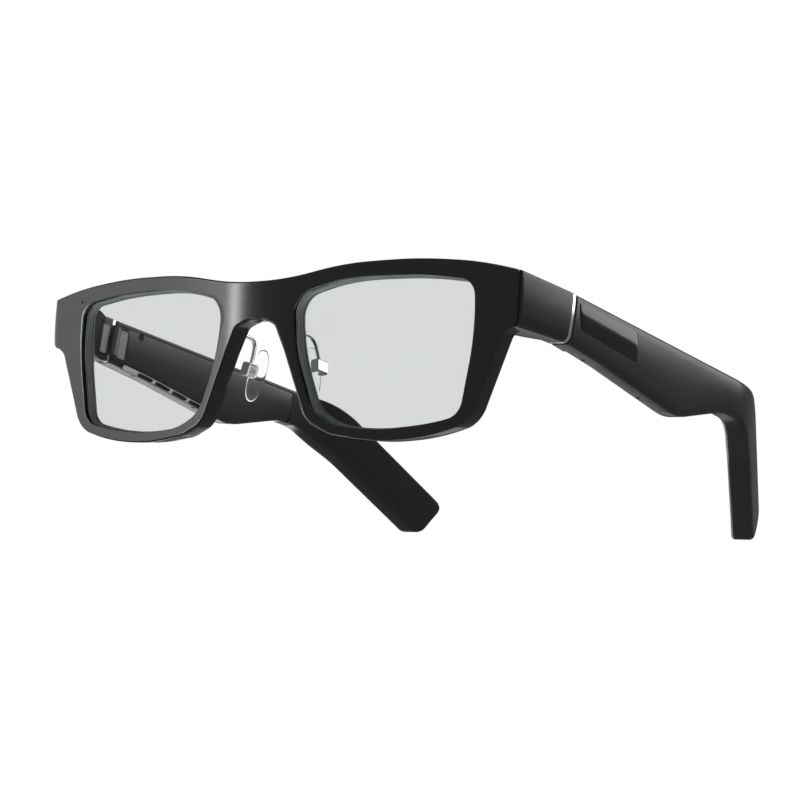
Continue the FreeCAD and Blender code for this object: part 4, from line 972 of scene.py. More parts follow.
@dataclass
class SideBlock:
    """The block from the front's end piece back to the hinge, with the bright ring at its end."""

    plane: FrontPlane
    lens_side: float = 63.3
    front_half: float = 74.4
    outer_x: float = 76.8
    inner_x: float = 70.7
    front_y: float = 4.591
    ring_y: float = 22.991
    ring_back: float = 24.091
    height: float = 11.6
    drop: float = 0.9
    bulge: float = 0.4
    edge: float = 0.9
    rows: int = 60
    proud: float = 0.12
    root: Corner = (2.4, 5.2)
    neck: Corner = (2.9, 8.6)
    straight: float = 4.0
    plan_points: int = 40
    radii: Corner = (0.5, 1.7, 0.7, 0.4)
    ledge: float = 3.0
    ring_bevel: float = 0.14
    ring_inset: float = 1.0
    ring_proud: float = 0.03

    def plan(self, y: np.ndarray) -> tuple[np.ndarray, np.ndarray]:
        """Inner and outer x at y: circles through the block's three plan points, then straight.

        Args:
            y: stations along the block.

        Returns:
            Inner and outer x at each.
        """
        middle = ((self.front_half + self.outer_x) / 2.0 + self.bulge, (self.front_y + self.ring_back) / 2.0)
        outer = arc_through((self.front_half, self.front_y - self.straight), middle,
                            (self.outer_x, self.ring_back), self.plan_points)
        root = (self.lens_side + self.root[0], self.front_y + self.root[1])
        neck = (self.inner_x - self.neck[0], self.ring_back - self.neck[1])
        inner = arc_through(root, neck, (self.inner_x, self.ring_back - self.straight), self.plan_points)
        return (np.interp(y, inner[:, 1], inner[:, 0]) + self.proud, np.interp(y, outer[:, 1], outer[:, 0]))

    def sections(self, y: np.ndarray, shrink: np.ndarray, leaned: bool) -> np.ndarray:
        """Sections across the block; a leaned run starts on the face's slope and ends upright.

        Args:
            y: stations along the block.
            shrink: how far each section is drawn in from the sides.
            leaned: whether the first section lies on the face's slope.

        Returns:
            The grid, (rows, columns, 3).
        """
        inner, outer = self.plan(y)
        inner, outer = inner + shrink, outer - shrink
        forward = np.clip((self.ring_back - y) / (self.ring_back - self.front_y), 0.0, 1.0)
        low = -self.height - self.drop * forward + shrink
        height = -shrink - low
        radii = np.tile(np.array(self.radii), (len(y), 1))
        ledge = np.full_like(y, self.ledge)
        across, up = Section().ring(outer - inner, height, radii, np.zeros_like(y), ledge)
        x = inner[:, None] + across
        z = low[:, None] + up
        along = np.repeat(y[:, None], x.shape[1], axis=1)
        if leaned:
            face = self.face_y(x, z)
            share = (along - y[0]) / (y[-1] - y[0])
            along = face + (y[-1] - face) * share
        return np.stack([x, along, z], axis=-1)

    def face_y(self, x: np.ndarray, z: np.ndarray) -> np.ndarray:
        """Where a level line at (x, z) meets the leaned face, behind it by the edge.

        Args:
            x: places across.
            z: heights.

        Returns:
            The depth at each.
        """
        cosine, sine = math.cos(math.radians(self.plane.tilt)), math.sin(math.radians(self.plane.tilt))
        depth = self.plane.wrapped_y(x) + self.edge
        height = (z - depth * sine) / cosine
        return depth * cosine - height * sine + self.plane.setback

    def build(self, name: str, side: float) -> None:
        """Makes one side's block and ring.

        Args:
            name: left or right.
            side: 1 for the wearer's left, -1 for the right.
        """
        y = np.linspace(self.front_y + self.edge, self.ring_y, self.rows)
        body = self.sections(y, np.zeros_like(y), True)
        shape = Shape().add_grid(mirrored(with_caps(body), side), False, True)
        piece(shape.mesh(name + "_side_block"), "front", TEMPLE_SATIN)
        bevel, proud = self.ring_bevel, -self.ring_proud
        near, far = self.ring_y, self.ring_back
        stations = np.array([near, near, near + bevel, far - bevel, far])
        ring = self.sections(stations, np.array([self.ring_inset, bevel, proud, proud, bevel]), False)
        shape = Shape().add_grid(mirrored(with_caps(ring), side), False, True)
        piece(shape.mesh(name + "_end_ring"), "front", BRIGHT_RING, name + "_trim_ring")


@dataclass(frozen=True)
class PaneSize:
    """A clear pane: how far it reaches past the opening, and its front and back depth, in millimetres."""

    label: str
    growth: float
    near: float
    far: float
    finish: Finish


@dataclass(frozen=True)
class BandSize:
    """A ring inside the opening, painted pale as the glint of a glass edge: its two reaches past the opening,
    and its front and back depth.
    """

    label: str
    inside: float
    outside: float
    near: float
    far: float
    finish: Finish


PANES = (
    PaneSize("cover_lens", 0.6, 0.64, 1.46, COVER_GLASS),
    PaneSize("waveguide", -0.3, 1.95, 2.85, GUIDE_GLASS),
    PaneSize("rear_lens", -0.02, 3.8, 4.75, REAR_GLASS),
)
# The bands below are pale rings painted as the glint of light caught in the glass edges, laid where the lens
# edges sit.
BANDS = (
    BandSize("gasket_edge_glint", 0.0, 0.5, 1.5, 1.62, LENS_EDGE_GLINT),
    BandSize("guide_edge_glint", -0.42, 0.5, 1.93, 2.3, GUIDE_EDGE_GLINT),
    BandSize("guide_foot_glint", -0.42, 0.5, 2.48, 2.9, GUIDE_EDGE_GLINT),
    BandSize("lens_edge_glint", -0.38, 0.02, 3.2, 3.36, LENS_EDGE_GLINT),
    BandSize("lens_foot_glint", -0.4, 0.02, 3.8, 4.3, GUIDE_EDGE_GLINT),
)


@dataclass
class Lenses:
    """Cover lens, waveguide and rear lens of each eye, with the edges that show inside the opening, painted
    pale as the glint of light in the glass edges.
    """

    outline: FrontOutline
    rings: int = 2
    bevel: float = 0.08

    def pane(self, size: PaneSize) -> np.ndarray:
        """A closed pane: the opening's outline drawn in to a point at its centre on both faces.

        Args:
            size: the pane's reach and depths.

        Returns:
            The grid, (rows, columns, 3).
        """
        near, far, bevel = size.near, size.far, self.bevel
        line = self.outline.lens_line(size.growth)
        centre = np.array([self.outline.nose + self.outline.lens_width / 2.0,
                           self.outline.lens_top - self.outline.lens_height / 2.0])
        inner = self.outline.lens_line(size.growth - bevel)
        shares = np.linspace(0.0, 1.0, self.rings)
        front = [self.outline.plane.put(centre + (inner - centre) * share, near) for share in shares]
        rim = [self.outline.plane.put(line, near + bevel), self.outline.plane.put(line, far - bevel)]
        back = [self.outline.plane.put(centre + (inner - centre) * share, far) for share in shares[::-1]]
        return np.stack(front + rim + back)

    def band(self, size: BandSize) -> np.ndarray:
        """A closed ring of the opening's shape with a four-sided section.

        Args:
            size: the band's reaches and depths.

        Returns:
            The grid, (rows, columns, 3).
        """
        put = self.outline.plane.put
        inside, outside = self.outline.lens_line(size.inside), self.outline.lens_line(size.outside)
        return np.stack([put(outside, size.near), put(inside, size.near), put(inside, size.far),
                         put(outside, size.far)])

    def build(self, name: str, side: float) -> None:
        """Makes one eye's lenses and visible edges.

        Args:
            name: left or right.
            side: 1 for the wearer's left, -1 for the right.
        """
        for size in PANES:
            shape = Shape().add_grid(mirrored(self.pane(size), side), False, True)
            piece(shape.mesh(f"{name}_{size.label}_glass"), "front", size.finish, f"{name}_{size.label}")
        for size in BANDS:
            shape = Shape().add_grid(mirrored(self.band(size), side), True, True)
            piece(shape.mesh(f"{name}_{size.label}"), "front", size.finish)


# ---- temples ----


@dataclass
class Temple:
    """One temple's outer case: a section carried along its side view and turned in behind the ear."""

    inner_x: float = 70.7
    outer_x: float = 76.8
    front_y: float = 24.591
    bend_y: float = 105.241
    front_height: float = 11.6
    tip_length: float = 42.7
    tip_height: float = 11.8
    tip_drop: float = 32.9
    tip_turn: float = 23.6
    inner_lead: float = 2.4
    belly: float = 16.4
    belly_lead: float = 31.7
    waist: float = 9.75
    cover_start: float = 4.85
    cover_end: float = 8.0
    cover_thick: float = 1.2
    cover_margin: float = 0.9
    leaf_proud: float = 0.12
    end_round: float = 0.9
    inlay_lift: float = 0.2
    inlay_dome: float = 0.22
    inlay_points: int = 240
    inlay_rings: int = 16
    cover_gap: float = 0.04
    cover_crown: float = 0.22
    bevel: float = 1.2
    slot_first: float = 9.05
    slot_pitch: float = 6.9
    slot_length: float = 5.9
    slot_height: float = 1.15
    port_x: float = 72.8
    port_y: Corner = (35.441, 59.941)
    port_radius: float = 0.48
    port_points: int = 28
    bend_lead: float = 8.3
    top_round: float = 25.0
    tip_rounds: Corner = (3.0, 2.2)
    tip_trims: Corner = (2.6, 2.0)
    shoulder: Corner = (15.4, 1.1, 80.0)
    belly_round: float = 20.0
    waist_leads: Corner = (11.2, 2.8)
    waist_rounds: Corner = (16.0, 14.0)
    heel: Corner = (12.3, 7.15, 40.0)
    columns: tuple[int, ...] = (12, 70, 34, 8, 12, 34, 50, 20)
    under_case: int = 200
    plan_rounds: Corner = (31.0, 37.0)
    plan_lead: float = 5.0
    case_crown: float = 0.3
    case_radii: Corner = (1.3, 1.25, 1.0, 0.7)
    seat_radius: float = 0.03
    front_radius: float = 0.6
    front_scale: float = 0.93
    front_bevel: float = 0.3
    least_height: float = 0.02
    cover_soft: float = 0.18
    cover_end_gap: float = 0.02
    cover_end_soft: float = 0.12
    cover_rows: int = 90
    cover_face_rows: int = 16
    bar_span: Corner = (5.2, 41.5)
    bar_half: float = 0.66
    bar_round: float = 0.4
    bar_points: int = 240
    slot_lead: float = 2.0
    slot_count: int = 4
    inlay_start: float = 1.3
    inlay_length: float = 24.3
    inlay_height: float = 6.4
    inlay_top: float = 1.5
    inlay_slant: float = 0.25
    inlay_fall: float = 0.045
    inlay_round: float = 0.8

    def end_points(self) -> tuple[np.ndarray, np.ndarray]:
        """Top and bottom corner of the tip's end, in (y, z).

        Returns:
            The two corners.
        """
        drop = math.radians(self.tip_drop)
        bend = self.bend_y + self.bend_lead
        top = np.array([bend + self.tip_length * math.cos(drop), -self.tip_length * math.sin(drop)])
        return top, top - self.tip_height * np.array([math.sin(drop), math.cos(drop)])

    def side_lines(self) -> tuple[np.ndarray, np.ndarray, int, int]:
        """Paired points on the top and bottom lines of the side view, and the cover's two end stations.

        Returns:
            The top line, the bottom line, and the first and last station under the cover.
        """
        end_top, end_low = self.end_points()
        middle = (end_top + end_low) / 2.0
        shoulder, heel, arc = self.shoulder, self.heel, 40
        first_waist, last_waist = (self.bend_y - lead for lead in self.waist_leads)
        top, top_marks = rounded_path(
            [(self.front_y, 0.0), (self.bend_y + self.bend_lead, 0.0, self.top_round),
             (*end_top, self.tip_rounds[0]), tuple(middle)], False, arc)
        low, low_marks = rounded_path(
            [(self.front_y, -self.front_height),
             (self.front_y + shoulder[0], -self.front_height - shoulder[1], shoulder[2]),
             (self.bend_y - self.belly_lead, -self.belly, self.belly_round),
             (first_waist, -self.waist, self.waist_rounds[0]),
             (last_waist, -self.waist, self.waist_rounds[1]),
             (self.bend_y + heel[0], -self.waist - heel[1], heel[2]),
             (*end_low, self.tip_rounds[1]), tuple(middle)], False, arc)
        stops = [self.front_y, self.front_y + self.cover_start, self.bend_y - self.belly_lead,
                 first_waist, self.bend_y - self.cover_end, last_waist]
        top_stops = self.stops_along(top, stops, arc + arc // 2)
        low_stops = self.stops_along(low, stops, 5 * arc)
        top_stops += [float(top_marks[1]), float(top_marks[2]) - self.tip_trims[0], float(top_marks[3])]
        low_stops += [float(low_marks[5]), float(low_marks[6]) - self.tip_trims[1], float(low_marks[7])]
        counts = list(self.columns)
        start, end = counts[0], sum(counts[:4])
        return between_marks(top, top_stops, counts), between_marks(low, low_stops, counts), start, end

    def stops_along(self, line: np.ndarray, stops: list[float], count: int) -> list[float]:
        """Lengths along a line where its first count points reach each stop in y."""
        return [float(value) for value in np.interp(stops, line[:count, 0], lengths(line)[:count])]

    def low_height(self, y: np.ndarray) -> np.ndarray:
        """Height of the case's bottom line at y, ahead of the tip."""
        low = self.side_lines()[1][:self.under_case]
        return np.interp(y, low[:, 0], low[:, 1])

    def plan(self, y: np.ndarray) -> tuple[np.ndarray, np.ndarray]:
        """Inner and outer x at y: straight, then an arc and a line turned in by the tip's angle.

        Args:
            y: stations along the temple.

        Returns:
            Inner and outer x at each.
        """
        turn = math.radians(self.tip_turn)
        reach = self.tip_length * 1.5
        step = (-reach * math.sin(turn), reach * math.cos(turn))
        lead = self.bend_y - self.inner_lead
        start, arc = self.front_y - self.plan_lead, 60
        outer, _ = rounded_path([(self.outer_x, start), (self.outer_x, self.bend_y, self.plan_rounds[1]),
                                 (self.outer_x + step[0], self.bend_y + step[1])], False, arc)
        inner, _ = rounded_path([(self.inner_x, start), (self.inner_x, lead, self.plan_rounds[0]),
                                 (self.inner_x + step[0], lead + step[1])], False, arc)
        return np.interp(y, inner[:, 1], inner[:, 0]), np.interp(y, outer[:, 1], outer[:, 0])

    def sections(self) -> np.ndarray:
        """All sections as one grid; the cover's seat is stepped in at its two end stations.

        Returns:
            The grid, (rows, columns, 3).
        """
        top, low, start, end = self.side_lines()
        order = np.concatenate([[0, 0], np.arange(1, start + 1), np.arange(start, end + 1),
                                np.arange(end, len(top))])
        zone = np.zeros(len(order))
        zone[start + 2:start + 3 + end - start] = 1.0
        front = np.zeros(len(order))
        front[:start + 2] = 1.0
        top, low = top[order], low[order]
        height = np.linalg.norm(top - low, axis=1)
        end_top, end_low = self.end_points()
        drop = math.radians(self.tip_drop)
        outward = np.array([math.cos(drop), -math.sin(drop)])
        gap = np.clip(((end_top - (top + low) / 2.0) @ outward), 0.0, self.end_round)
        rounding = self.end_round - np.sqrt(np.maximum(self.end_round**2 - (self.end_round - gap) ** 2, 0.0))
        width = np.full(len(order), self.outer_x - self.inner_x)
        inset = zone * self.cover_thick + front * self.leaf_proud
        radii = np.tile(np.array(self.case_radii), (len(order), 1))
        radii[zone > 0, 0] = self.seat_radius
        radii[front > 0, 0] = self.front_radius
        step = np.full(len(order), self.cover_margin)
        height = np.maximum(height, self.least_height)
        across, up = Section(crown=self.case_crown).ring(width, height, radii, inset, step)
        share = up / height[:, None]
        flat = low[:, None, :] + (top - low)[:, None, :] * share[..., None]
        inner, outer = self.plan(flat[..., 0])
        inner, outer = inner + rounding[:, None], outer - rounding[:, None]
        x = inner + (outer - inner) * across / width[:, None]
        grid = np.stack([x, flat[..., 0], flat[..., 1]], axis=-1)
        middle = grid[0].mean(axis=0)
        grid[0] = middle + (grid[0] - middle) * self.front_scale
        grid[1, :, 1] += self.front_bevel
        return grid

    def build(self, name: str, side: float) -> None:
        """Makes one side's case and its glossy touch inlay.

        Args:
            name: left or right.
            side: 1 for the wearer's left, -1 for the right.
        """
        shape = Shape().add_grid(mirrored(with_caps(self.sections(), last=False), side), False, True)
        piece(shape.mesh(name + "_temple_shell"), name + "_temple", TEMPLE_SATIN, name + "_temple_case")
        shape = Shape().add_grid(mirrored(self.inlay(), side), False, True)
        piece(shape.mesh(name + "_touch_inlay"), name + "_temple", TOUCH_GLOSS, name + "_touch_panel")
        ports = Shape()
        for grid in self.ports():
            ports.add_grid(mirrored(grid, side), False, True)
        piece(ports.mesh(name + "_underside_ports"), name + "_temple", PORT_SHADE)
        cover = Shape().add_grid(mirrored(self.cover(), side), False, True)
        piece(cover.mesh(name + "_inner_cover"), name + "_temple", COVER_SATIN, name + "_temple_cover")
        bar = Shape().add_grid(mirrored(self.bevel_highlight_bar(), side), False, True)
        piece(bar.mesh(name + "_bevel_highlight_bar"), name + "_temple", BEVEL_HIGHLIGHT_BAR)
        slots = Shape()
        for grid in self.slots():
            slots.add_grid(mirrored(grid, side), False, True)
        piece(slots.mesh(name + "_sound_slots"), name + "_temple", PORT_SHADE)

    def cover_face(self, y: np.ndarray, low: np.ndarray) -> np.ndarray:
        """The cover's section at each y: top edge, crowned face, bevel and a flat back.

        Args:
            y: stations along the cover.
            low: height of the case's bottom line at each.

        Returns:
            The grid, (rows, columns, 3).
        """
        high, soft = -self.cover_margin - self.cover_gap, self.cover_soft
        share = np.linspace(0.0, 1.0, self.cover_face_rows)
        turn = np.linspace(0.0, math.pi / 2.0, 5)
        bottom = low + self.bevel
        rows_x = [np.full((len(y), 1), self.cover_thick),
                  soft * (1.0 - np.sin(turn))[None, :].repeat(len(y), 0)]
        rows_z = [np.full((len(y), 1), high),
                  (high - soft * (1.0 - np.cos(turn)))[None, :].repeat(len(y), 0)]
        face_z = (high - soft) + (bottom[:, None] - high + soft) * share[None, 1:]
        rows_x.append(np.zeros_like(face_z))
        rows_z.append(face_z)
        rows_x.append(np.full((len(y), 1), self.bevel * 0.98))
        rows_z.append((low + self.bevel * 0.02)[:, None])
        rows_x.append(np.full((len(y), 1), self.cover_thick + 0.05))
        rows_z.append((low + self.bevel * 0.1)[:, None])
        across, height = np.concatenate(rows_x, axis=1), np.concatenate(rows_z, axis=1)
        middle = (high + bottom)[:, None] / 2.0
        half = (high - bottom)[:, None] / 2.0
        crown = self.cover_crown * np.minimum(np.abs((height - middle) / half), 1.0) ** 2
        crown *= np.clip(1.0 - across / self.bevel, 0.0, 1.0)
        along = np.repeat(y[:, None], across.shape[1], axis=1)
        return np.stack([self.inner_x - 0.01 + across + crown, along, height], axis=-1)

    def cover(self) -> np.ndarray:
        """The inner cover: its section carried between its two ends, with softened end edges.

        Returns:
            The grid, (rows, columns, 3).
        """
        soft = self.cover_end_soft
        first = self.front_y + self.cover_start + self.cover_end_gap
        last = self.bend_y - self.cover_end - self.cover_end_gap
        y = np.concatenate([[first], np.linspace(first + soft, last - soft, self.cover_rows), [last]])
        grid = self.cover_face(y, self.low_height(y))
        for end in (0, -1):
            grid[end, :, 0] = np.maximum(grid[end, :, 0], self.inner_x + soft)
        return with_caps(grid)

    def on_bevel(self, y: np.ndarray, across: np.ndarray, lift: float) -> np.ndarray:
        """Points on the cover's bevel: across runs from the face to the bottom line, lift stands off it.

        Args:
            y: places along the temple.
            across: places down the bevel from its middle.
            lift: how far the points stand off it.

        Returns:
            The points, (n, 3).
        """
        low = self.low_height(y)
        slope = math.sqrt(0.5)
        middle_x, middle_z = self.inner_x + self.bevel / 2.0, low + self.bevel / 2.0
        return np.stack([middle_x + (across - lift) * slope, y, middle_z - (across + lift) * slope], axis=-1)

    def bevel_highlight_bar(self) -> np.ndarray:
        """The light-grey bar along the bevel, painted pale as the highlight that the bevel catches: a thin
        strip with rounded ends.

        Returns:
            The grid, (rows, columns, 3).
        """
        start, end = (self.front_y + lead for lead in self.bar_span)
        half, bend = self.bar_half, self.bar_round
        line = evenly(rounded_path([(start, -half, bend), (end, -half, bend), (end, half, bend),
                                    (start, half, bend)], True, 8)[0], self.bar_points)
        low, high = line.min(axis=0), line.max(axis=0)
        return self.dished(line, float(low[0]) + 0.6, float(high[0]) - 0.6,
                           ((0.0, 0.05), (0.9, 0.05), (1.0, 0.02), (1.0, -0.2), (0.0, -0.2)))

    def dished(self, line: np.ndarray, first: float, last: float, profile: tuple[Corner, ...]) -> np.ndarray:
        """A form on the bevel: its outline drawn in to a spine, with a lift at each share.

        Args:
            line: the outline, (n, 2).
            first: the spine's start.
            last: the spine's end.
            profile: share of the outline and lift of each row.

        Returns:
            The grid, (rows, columns, 3).
        """
        spine = np.stack([np.clip(line[:, 0], first, last), np.zeros(len(line))], axis=1)
        rows = []
        for share, lift in profile:
            flat = spine + (line - spine) * share
            rows.append(self.on_bevel(flat[:, 0], flat[:, 1], lift))
        return np.stack(rows)

    def slots(self) -> list[np.ndarray]:
        """The four sound slots in the bar: dishes with rolled rims, painted black as the shade inside each
        slot.

        Returns:
            One grid per slot.
        """
        grids = []
        half = self.slot_height / 2.0
        bend = half * 0.96
        profile = ((0.0, -0.1), (1.0, -0.1), (1.0, 0.07), (0.86, 0.08), (0.78, 0.06), (0.0, 0.06))
        for index in range(self.slot_count):
            start = self.front_y + self.slot_first + index * self.slot_pitch + self.slot_lead
            end = start + self.slot_length
            line, _ = rounded_path([(start, -half, bend), (end, -half, bend), (end, half, bend),
                                    (start, half, bend)], True, 10)
            grids.append(self.dished(line, start + half, end - half, profile))
        return grids

    def ports(self) -> list[np.ndarray]:
        """Shallow dishes under the case: circles laid along the bottom line, their rims a hair below it,
        painted black as the shade inside each port.

        Returns:
            One grid per dish.
        """
        turn = np.linspace(0.0, 2.0 * math.pi, self.port_points, endpoint=False)
        proud = 0.004
        profile = ((0.0, 0.2), (1.0, 0.2), (1.0, -0.015), (0.85, -0.02), (0.8, 0.0), (0.0, 0.0))
        grids = []
        for centre in self.port_y:
            rows = []
            for share, lift in profile:
                y = centre + self.port_radius * share * np.sin(turn)
                x = self.port_x + self.port_radius * share * np.cos(turn)
                rows.append(np.stack([x, y, self.low_height(y) + lift - proud], axis=1))
            grids.append(np.stack(rows))
        return grids

    def inlay(self) -> np.ndarray:
        """The slanted panel: its rounded outline drawn in to the centre, bowed over its height by a parabola.

        Returns:
            The grid, (rows, columns, 3).
        """
        start, high, bend = self.front_y + self.inlay_start, -self.inlay_top, self.inlay_round
        length, height = self.inlay_length, self.inlay_height
        slant, fall = height * self.inlay_slant, length * self.inlay_fall
        line, _ = rounded_path([(start, high, bend), (start + length, high, bend),
                                (start + length + slant, high - height - fall, bend),
                                (start + slant, high - height, bend)], True, 12)
        line = evenly(line, self.inlay_points)
        centre = line.mean(axis=0)
        rows = []
        rings = [(share, 0.0) for share in np.linspace(0.0, 0.985, self.inlay_rings)]
        for share, lift in (*rings, (1.0, -0.03), (1.0, -0.4), (0.9, -0.4), (0.0, -0.4)):
            flat = centre + (line - centre) * share
            tilt = (flat[:, 1] - centre[1] + fall / length * (flat[:, 0] - centre[0])) / (height / 2.0)
            x = self.outer_x + self.inlay_lift - self.inlay_dome * tilt**2 + lift
            rows.append(np.stack([x, flat[:, 0], flat[:, 1]], axis=1))
        return np.stack(rows)


# ---- nose pads ----


@dataclass
class NosePad:
    """The clear pad, and the wire that holds its metal box."""

    box_centre: Corner = (11.4, 15.1, -17.9)
    splay: float = 11.0
    width: float = 5.4
    length: float = 13.2
    thick: float = 1.5
    face_x: float = -1.75
    drop: float = 0.9
    back: float = 0.6
    squareness: float = 0.86
    flatness: float = 0.8
    hollow: float = 0.25
    wire: float = 0.5
    wire_pull: float = 0.82
    wire_hook: float = 0.9
    wire_end: float = 1.4
    foot: Corner = (9.3, 6.4, -11.1)
    top: Corner = (9.4, 13.9, -10.4)

    def turned(self, points: np.ndarray) -> np.ndarray:
        """Points about the box centre, splayed and put in place.

        Args:
            points: points about the pad box's centre.

        Returns:
            The points in place.
        """
        angle = math.radians(-self.splay)
        x, y, z = points[..., 0], points[..., 1], points[..., 2]
        spun = np.stack([x * math.cos(angle) + z * math.sin(angle), y,
                         z * math.cos(angle) - x * math.sin(angle)], axis=-1)
        return spun + np.array(self.box_centre)

    def pad(self) -> np.ndarray:
        """A flattened pebble: a long rounded outline whose thickness follows a soft power of the sine.

        Returns:
            The grid, (rows, columns, 3).
        """
        around = np.linspace(0.0, 2.0 * math.pi, 64, endpoint=False)
        over = np.linspace(0.0, math.pi, 30)[:, None]
        power, cosine = self.squareness, np.cos(over)
        y = np.sign(np.cos(around)) * np.abs(np.cos(around)) ** power * self.width / 2.0
        z = np.sign(np.sin(around)) * np.abs(np.sin(around)) ** power * self.length / 2.0
        reach = np.sin(over) ** 0.5
        half = self.thick / 2.0
        x = self.face_x - half + np.sign(cosine) * np.abs(cosine) ** self.flatness * half
        x = np.repeat(x, len(around), axis=1) - self.hollow * (1.0 - reach**2)
        return self.turned(np.stack([x, reach * y + self.back, reach * z - self.drop], axis=-1))

    def tube(self, line: np.ndarray, radius: float) -> np.ndarray:
        """A round tube: a circle in the plane across the line, carried without twist.

        Args:
            line: the middle line, (n, 3).
            radius: the tube's radius.

        Returns:
            The grid, (rows, columns, 3).
        """
        along = np.gradient(line, axis=0)
        along /= np.linalg.norm(along, axis=1, keepdims=True)
        side = np.cross(along, np.array([1.0, 0.0, 0.0]))
        side /= np.linalg.norm(side, axis=1, keepdims=True)
        other = np.cross(along, side)
        angle = np.linspace(0.0, 2.0 * math.pi, 20, endpoint=False)[None, :, None]
        arm = np.cos(angle) * side[:, None, :] + np.sin(angle) * other[:, None, :]
        return line[:, None, :] + radius * arm

    def wire_line(self) -> np.ndarray:
        """The wire's line: out from the frame, over a rounded hook and down to the box.

        Returns:
            The points, (n, 3).
        """
        foot, top = np.array(self.foot), np.array(self.top)
        end = self.turned(np.array([0.0, 0.0, self.wire_end]))
        share = np.linspace(0.0, 1.0, 40)[:, None]
        first, second = foot + (top - foot) * self.wire_pull, end + (top - end) * self.wire_pull
        first, second = first + (top - first) * self.wire_hook, second + (top - second) * self.wire_hook
        return ((1 - share) ** 3 * foot + 3 * (1 - share) ** 2 * share * first
                + 3 * (1 - share) * share**2 * second + share**3 * end)

    def build(self, name: str, side: float) -> None:
        """Makes one side's pad and wire.

        Args:
            name: left or right.
            side: 1 for the wearer's left, -1 for the right.
        """
        shape = Shape().add_grid(mirrored(self.pad(), side), False, True)
        piece(shape.mesh(name + "_soft_pad"), name + "_nose_pad", SILICONE, name + "_nose_pad")
        wire = with_caps(self.tube(self.wire_line(), self.wire))
        shape = Shape().add_grid(mirrored(wire, side), False, True)
        piece(shape.mesh(name + "_pad_wire"), "front", WIRE, name + "_nose_pad_arm")


# ---- small openings ----


@dataclass
class Ports:
    """Microphone openings and the clip slot, as shallow dishes with a rolled rim, painted black as the shade
    inside each opening.
    """

    outline: FrontOutline

    radius: float = 0.42
    port_place: Corner = (0.2, -1.9)
    points: int = 28
    slot_half: float = 2.5
    slot_depths: Corner = (1.8, 3.2)
    slot_round: float = 0.65
    profile: tuple[Corner, ...] = ((1.0, -0.1), (1.0, 0.012), (0.86, 0.02), (0.8, 0.004), (0.0, 0.004))

    def dish(self, line: np.ndarray, place: Callable[[np.ndarray, float], np.ndarray]) -> np.ndarray:
        """A dish whose rim stands a hair proud and whose floor is lower, laid by a placing function.

        Args:
            line: the outline, (n, 2).
            place: gives places in the drawing for outline points and a lift.

        Returns:
            The grid, (rows, columns, 3).
        """
        centre = line.mean(axis=0)
        return np.stack([place(centre + (line - centre) * share, lift) for share, lift in self.profile])

    def build(self) -> None:
        """Makes the two front ports and the slot under the bridge."""
        plane = self.outline.plane
        turn = np.linspace(0.0, 2.0 * math.pi, self.points, endpoint=False)
        circle = np.stack([np.cos(turn), np.sin(turn)], axis=1)
        centre = np.array([self.outline.side + self.port_place[0], self.port_place[1]])
        for name, side in SIDES.items():
            grid = self.dish(circle * self.radius + centre, lambda flat, lift: plane.put(flat, -lift))
            shape = Shape().add_grid(mirrored(grid, side), False, True)
            piece(shape.mesh(name + "_mic_port"), "front", PORT_SHADE)
        half, bend, (near, far) = self.slot_half, self.slot_round, self.slot_depths
        slot, _ = rounded_path([(-half, near, bend), (half, near, bend), (half, far, bend),
                                (-half, far, bend)], True, 10)
        high = self.outline.arch_top
        grid = self.dish(slot, lambda flat, lift: plane.lean(
            flat[:, 0], flat[:, 1], np.full(len(flat), high - lift)))
        piece(Shape().add_grid(grid, False, True).mesh("clip_slot"), "front", PORT_SHADE)


# ---- studio ----


@dataclass(frozen=True)
class Panel:
    """A soft panel light that faces the object: degrees round and up, metres away and across, and watts.

    An azimuth of 0 is in front of the glasses and 90 on the wearer's left.
    """

    name: str
    azimuth: float
    elevation: float
    distance: float
    size: tuple[float, float]
    power: float


PANELS = (
    Panel("bridge_strip", -45.0, -4.0, 1.3, (0.04, 0.8), 1.9),
    Panel("left_panel", -65.5, -2.0, 1.2, (0.8, 0.9), 3.2),
    Panel("rear_side_panel", 140.0, 33.0, 1.1, (0.7, 0.7), 3.6),
    Panel("top_panel", 20.0, 82.0, 1.2, (1.0, 1.0), 9.0),
    Panel("far_rim_panel", -123.0, 5.0, 1.2, (0.62, 0.36), 2.2),
    Panel("far_low_panel", -125.0, -21.0, 1.2, (0.38, 0.34), 0.9),
    Panel("near_low_panel", -146.0, -21.0, 1.2, (0.34, 0.34), 0.16),
)


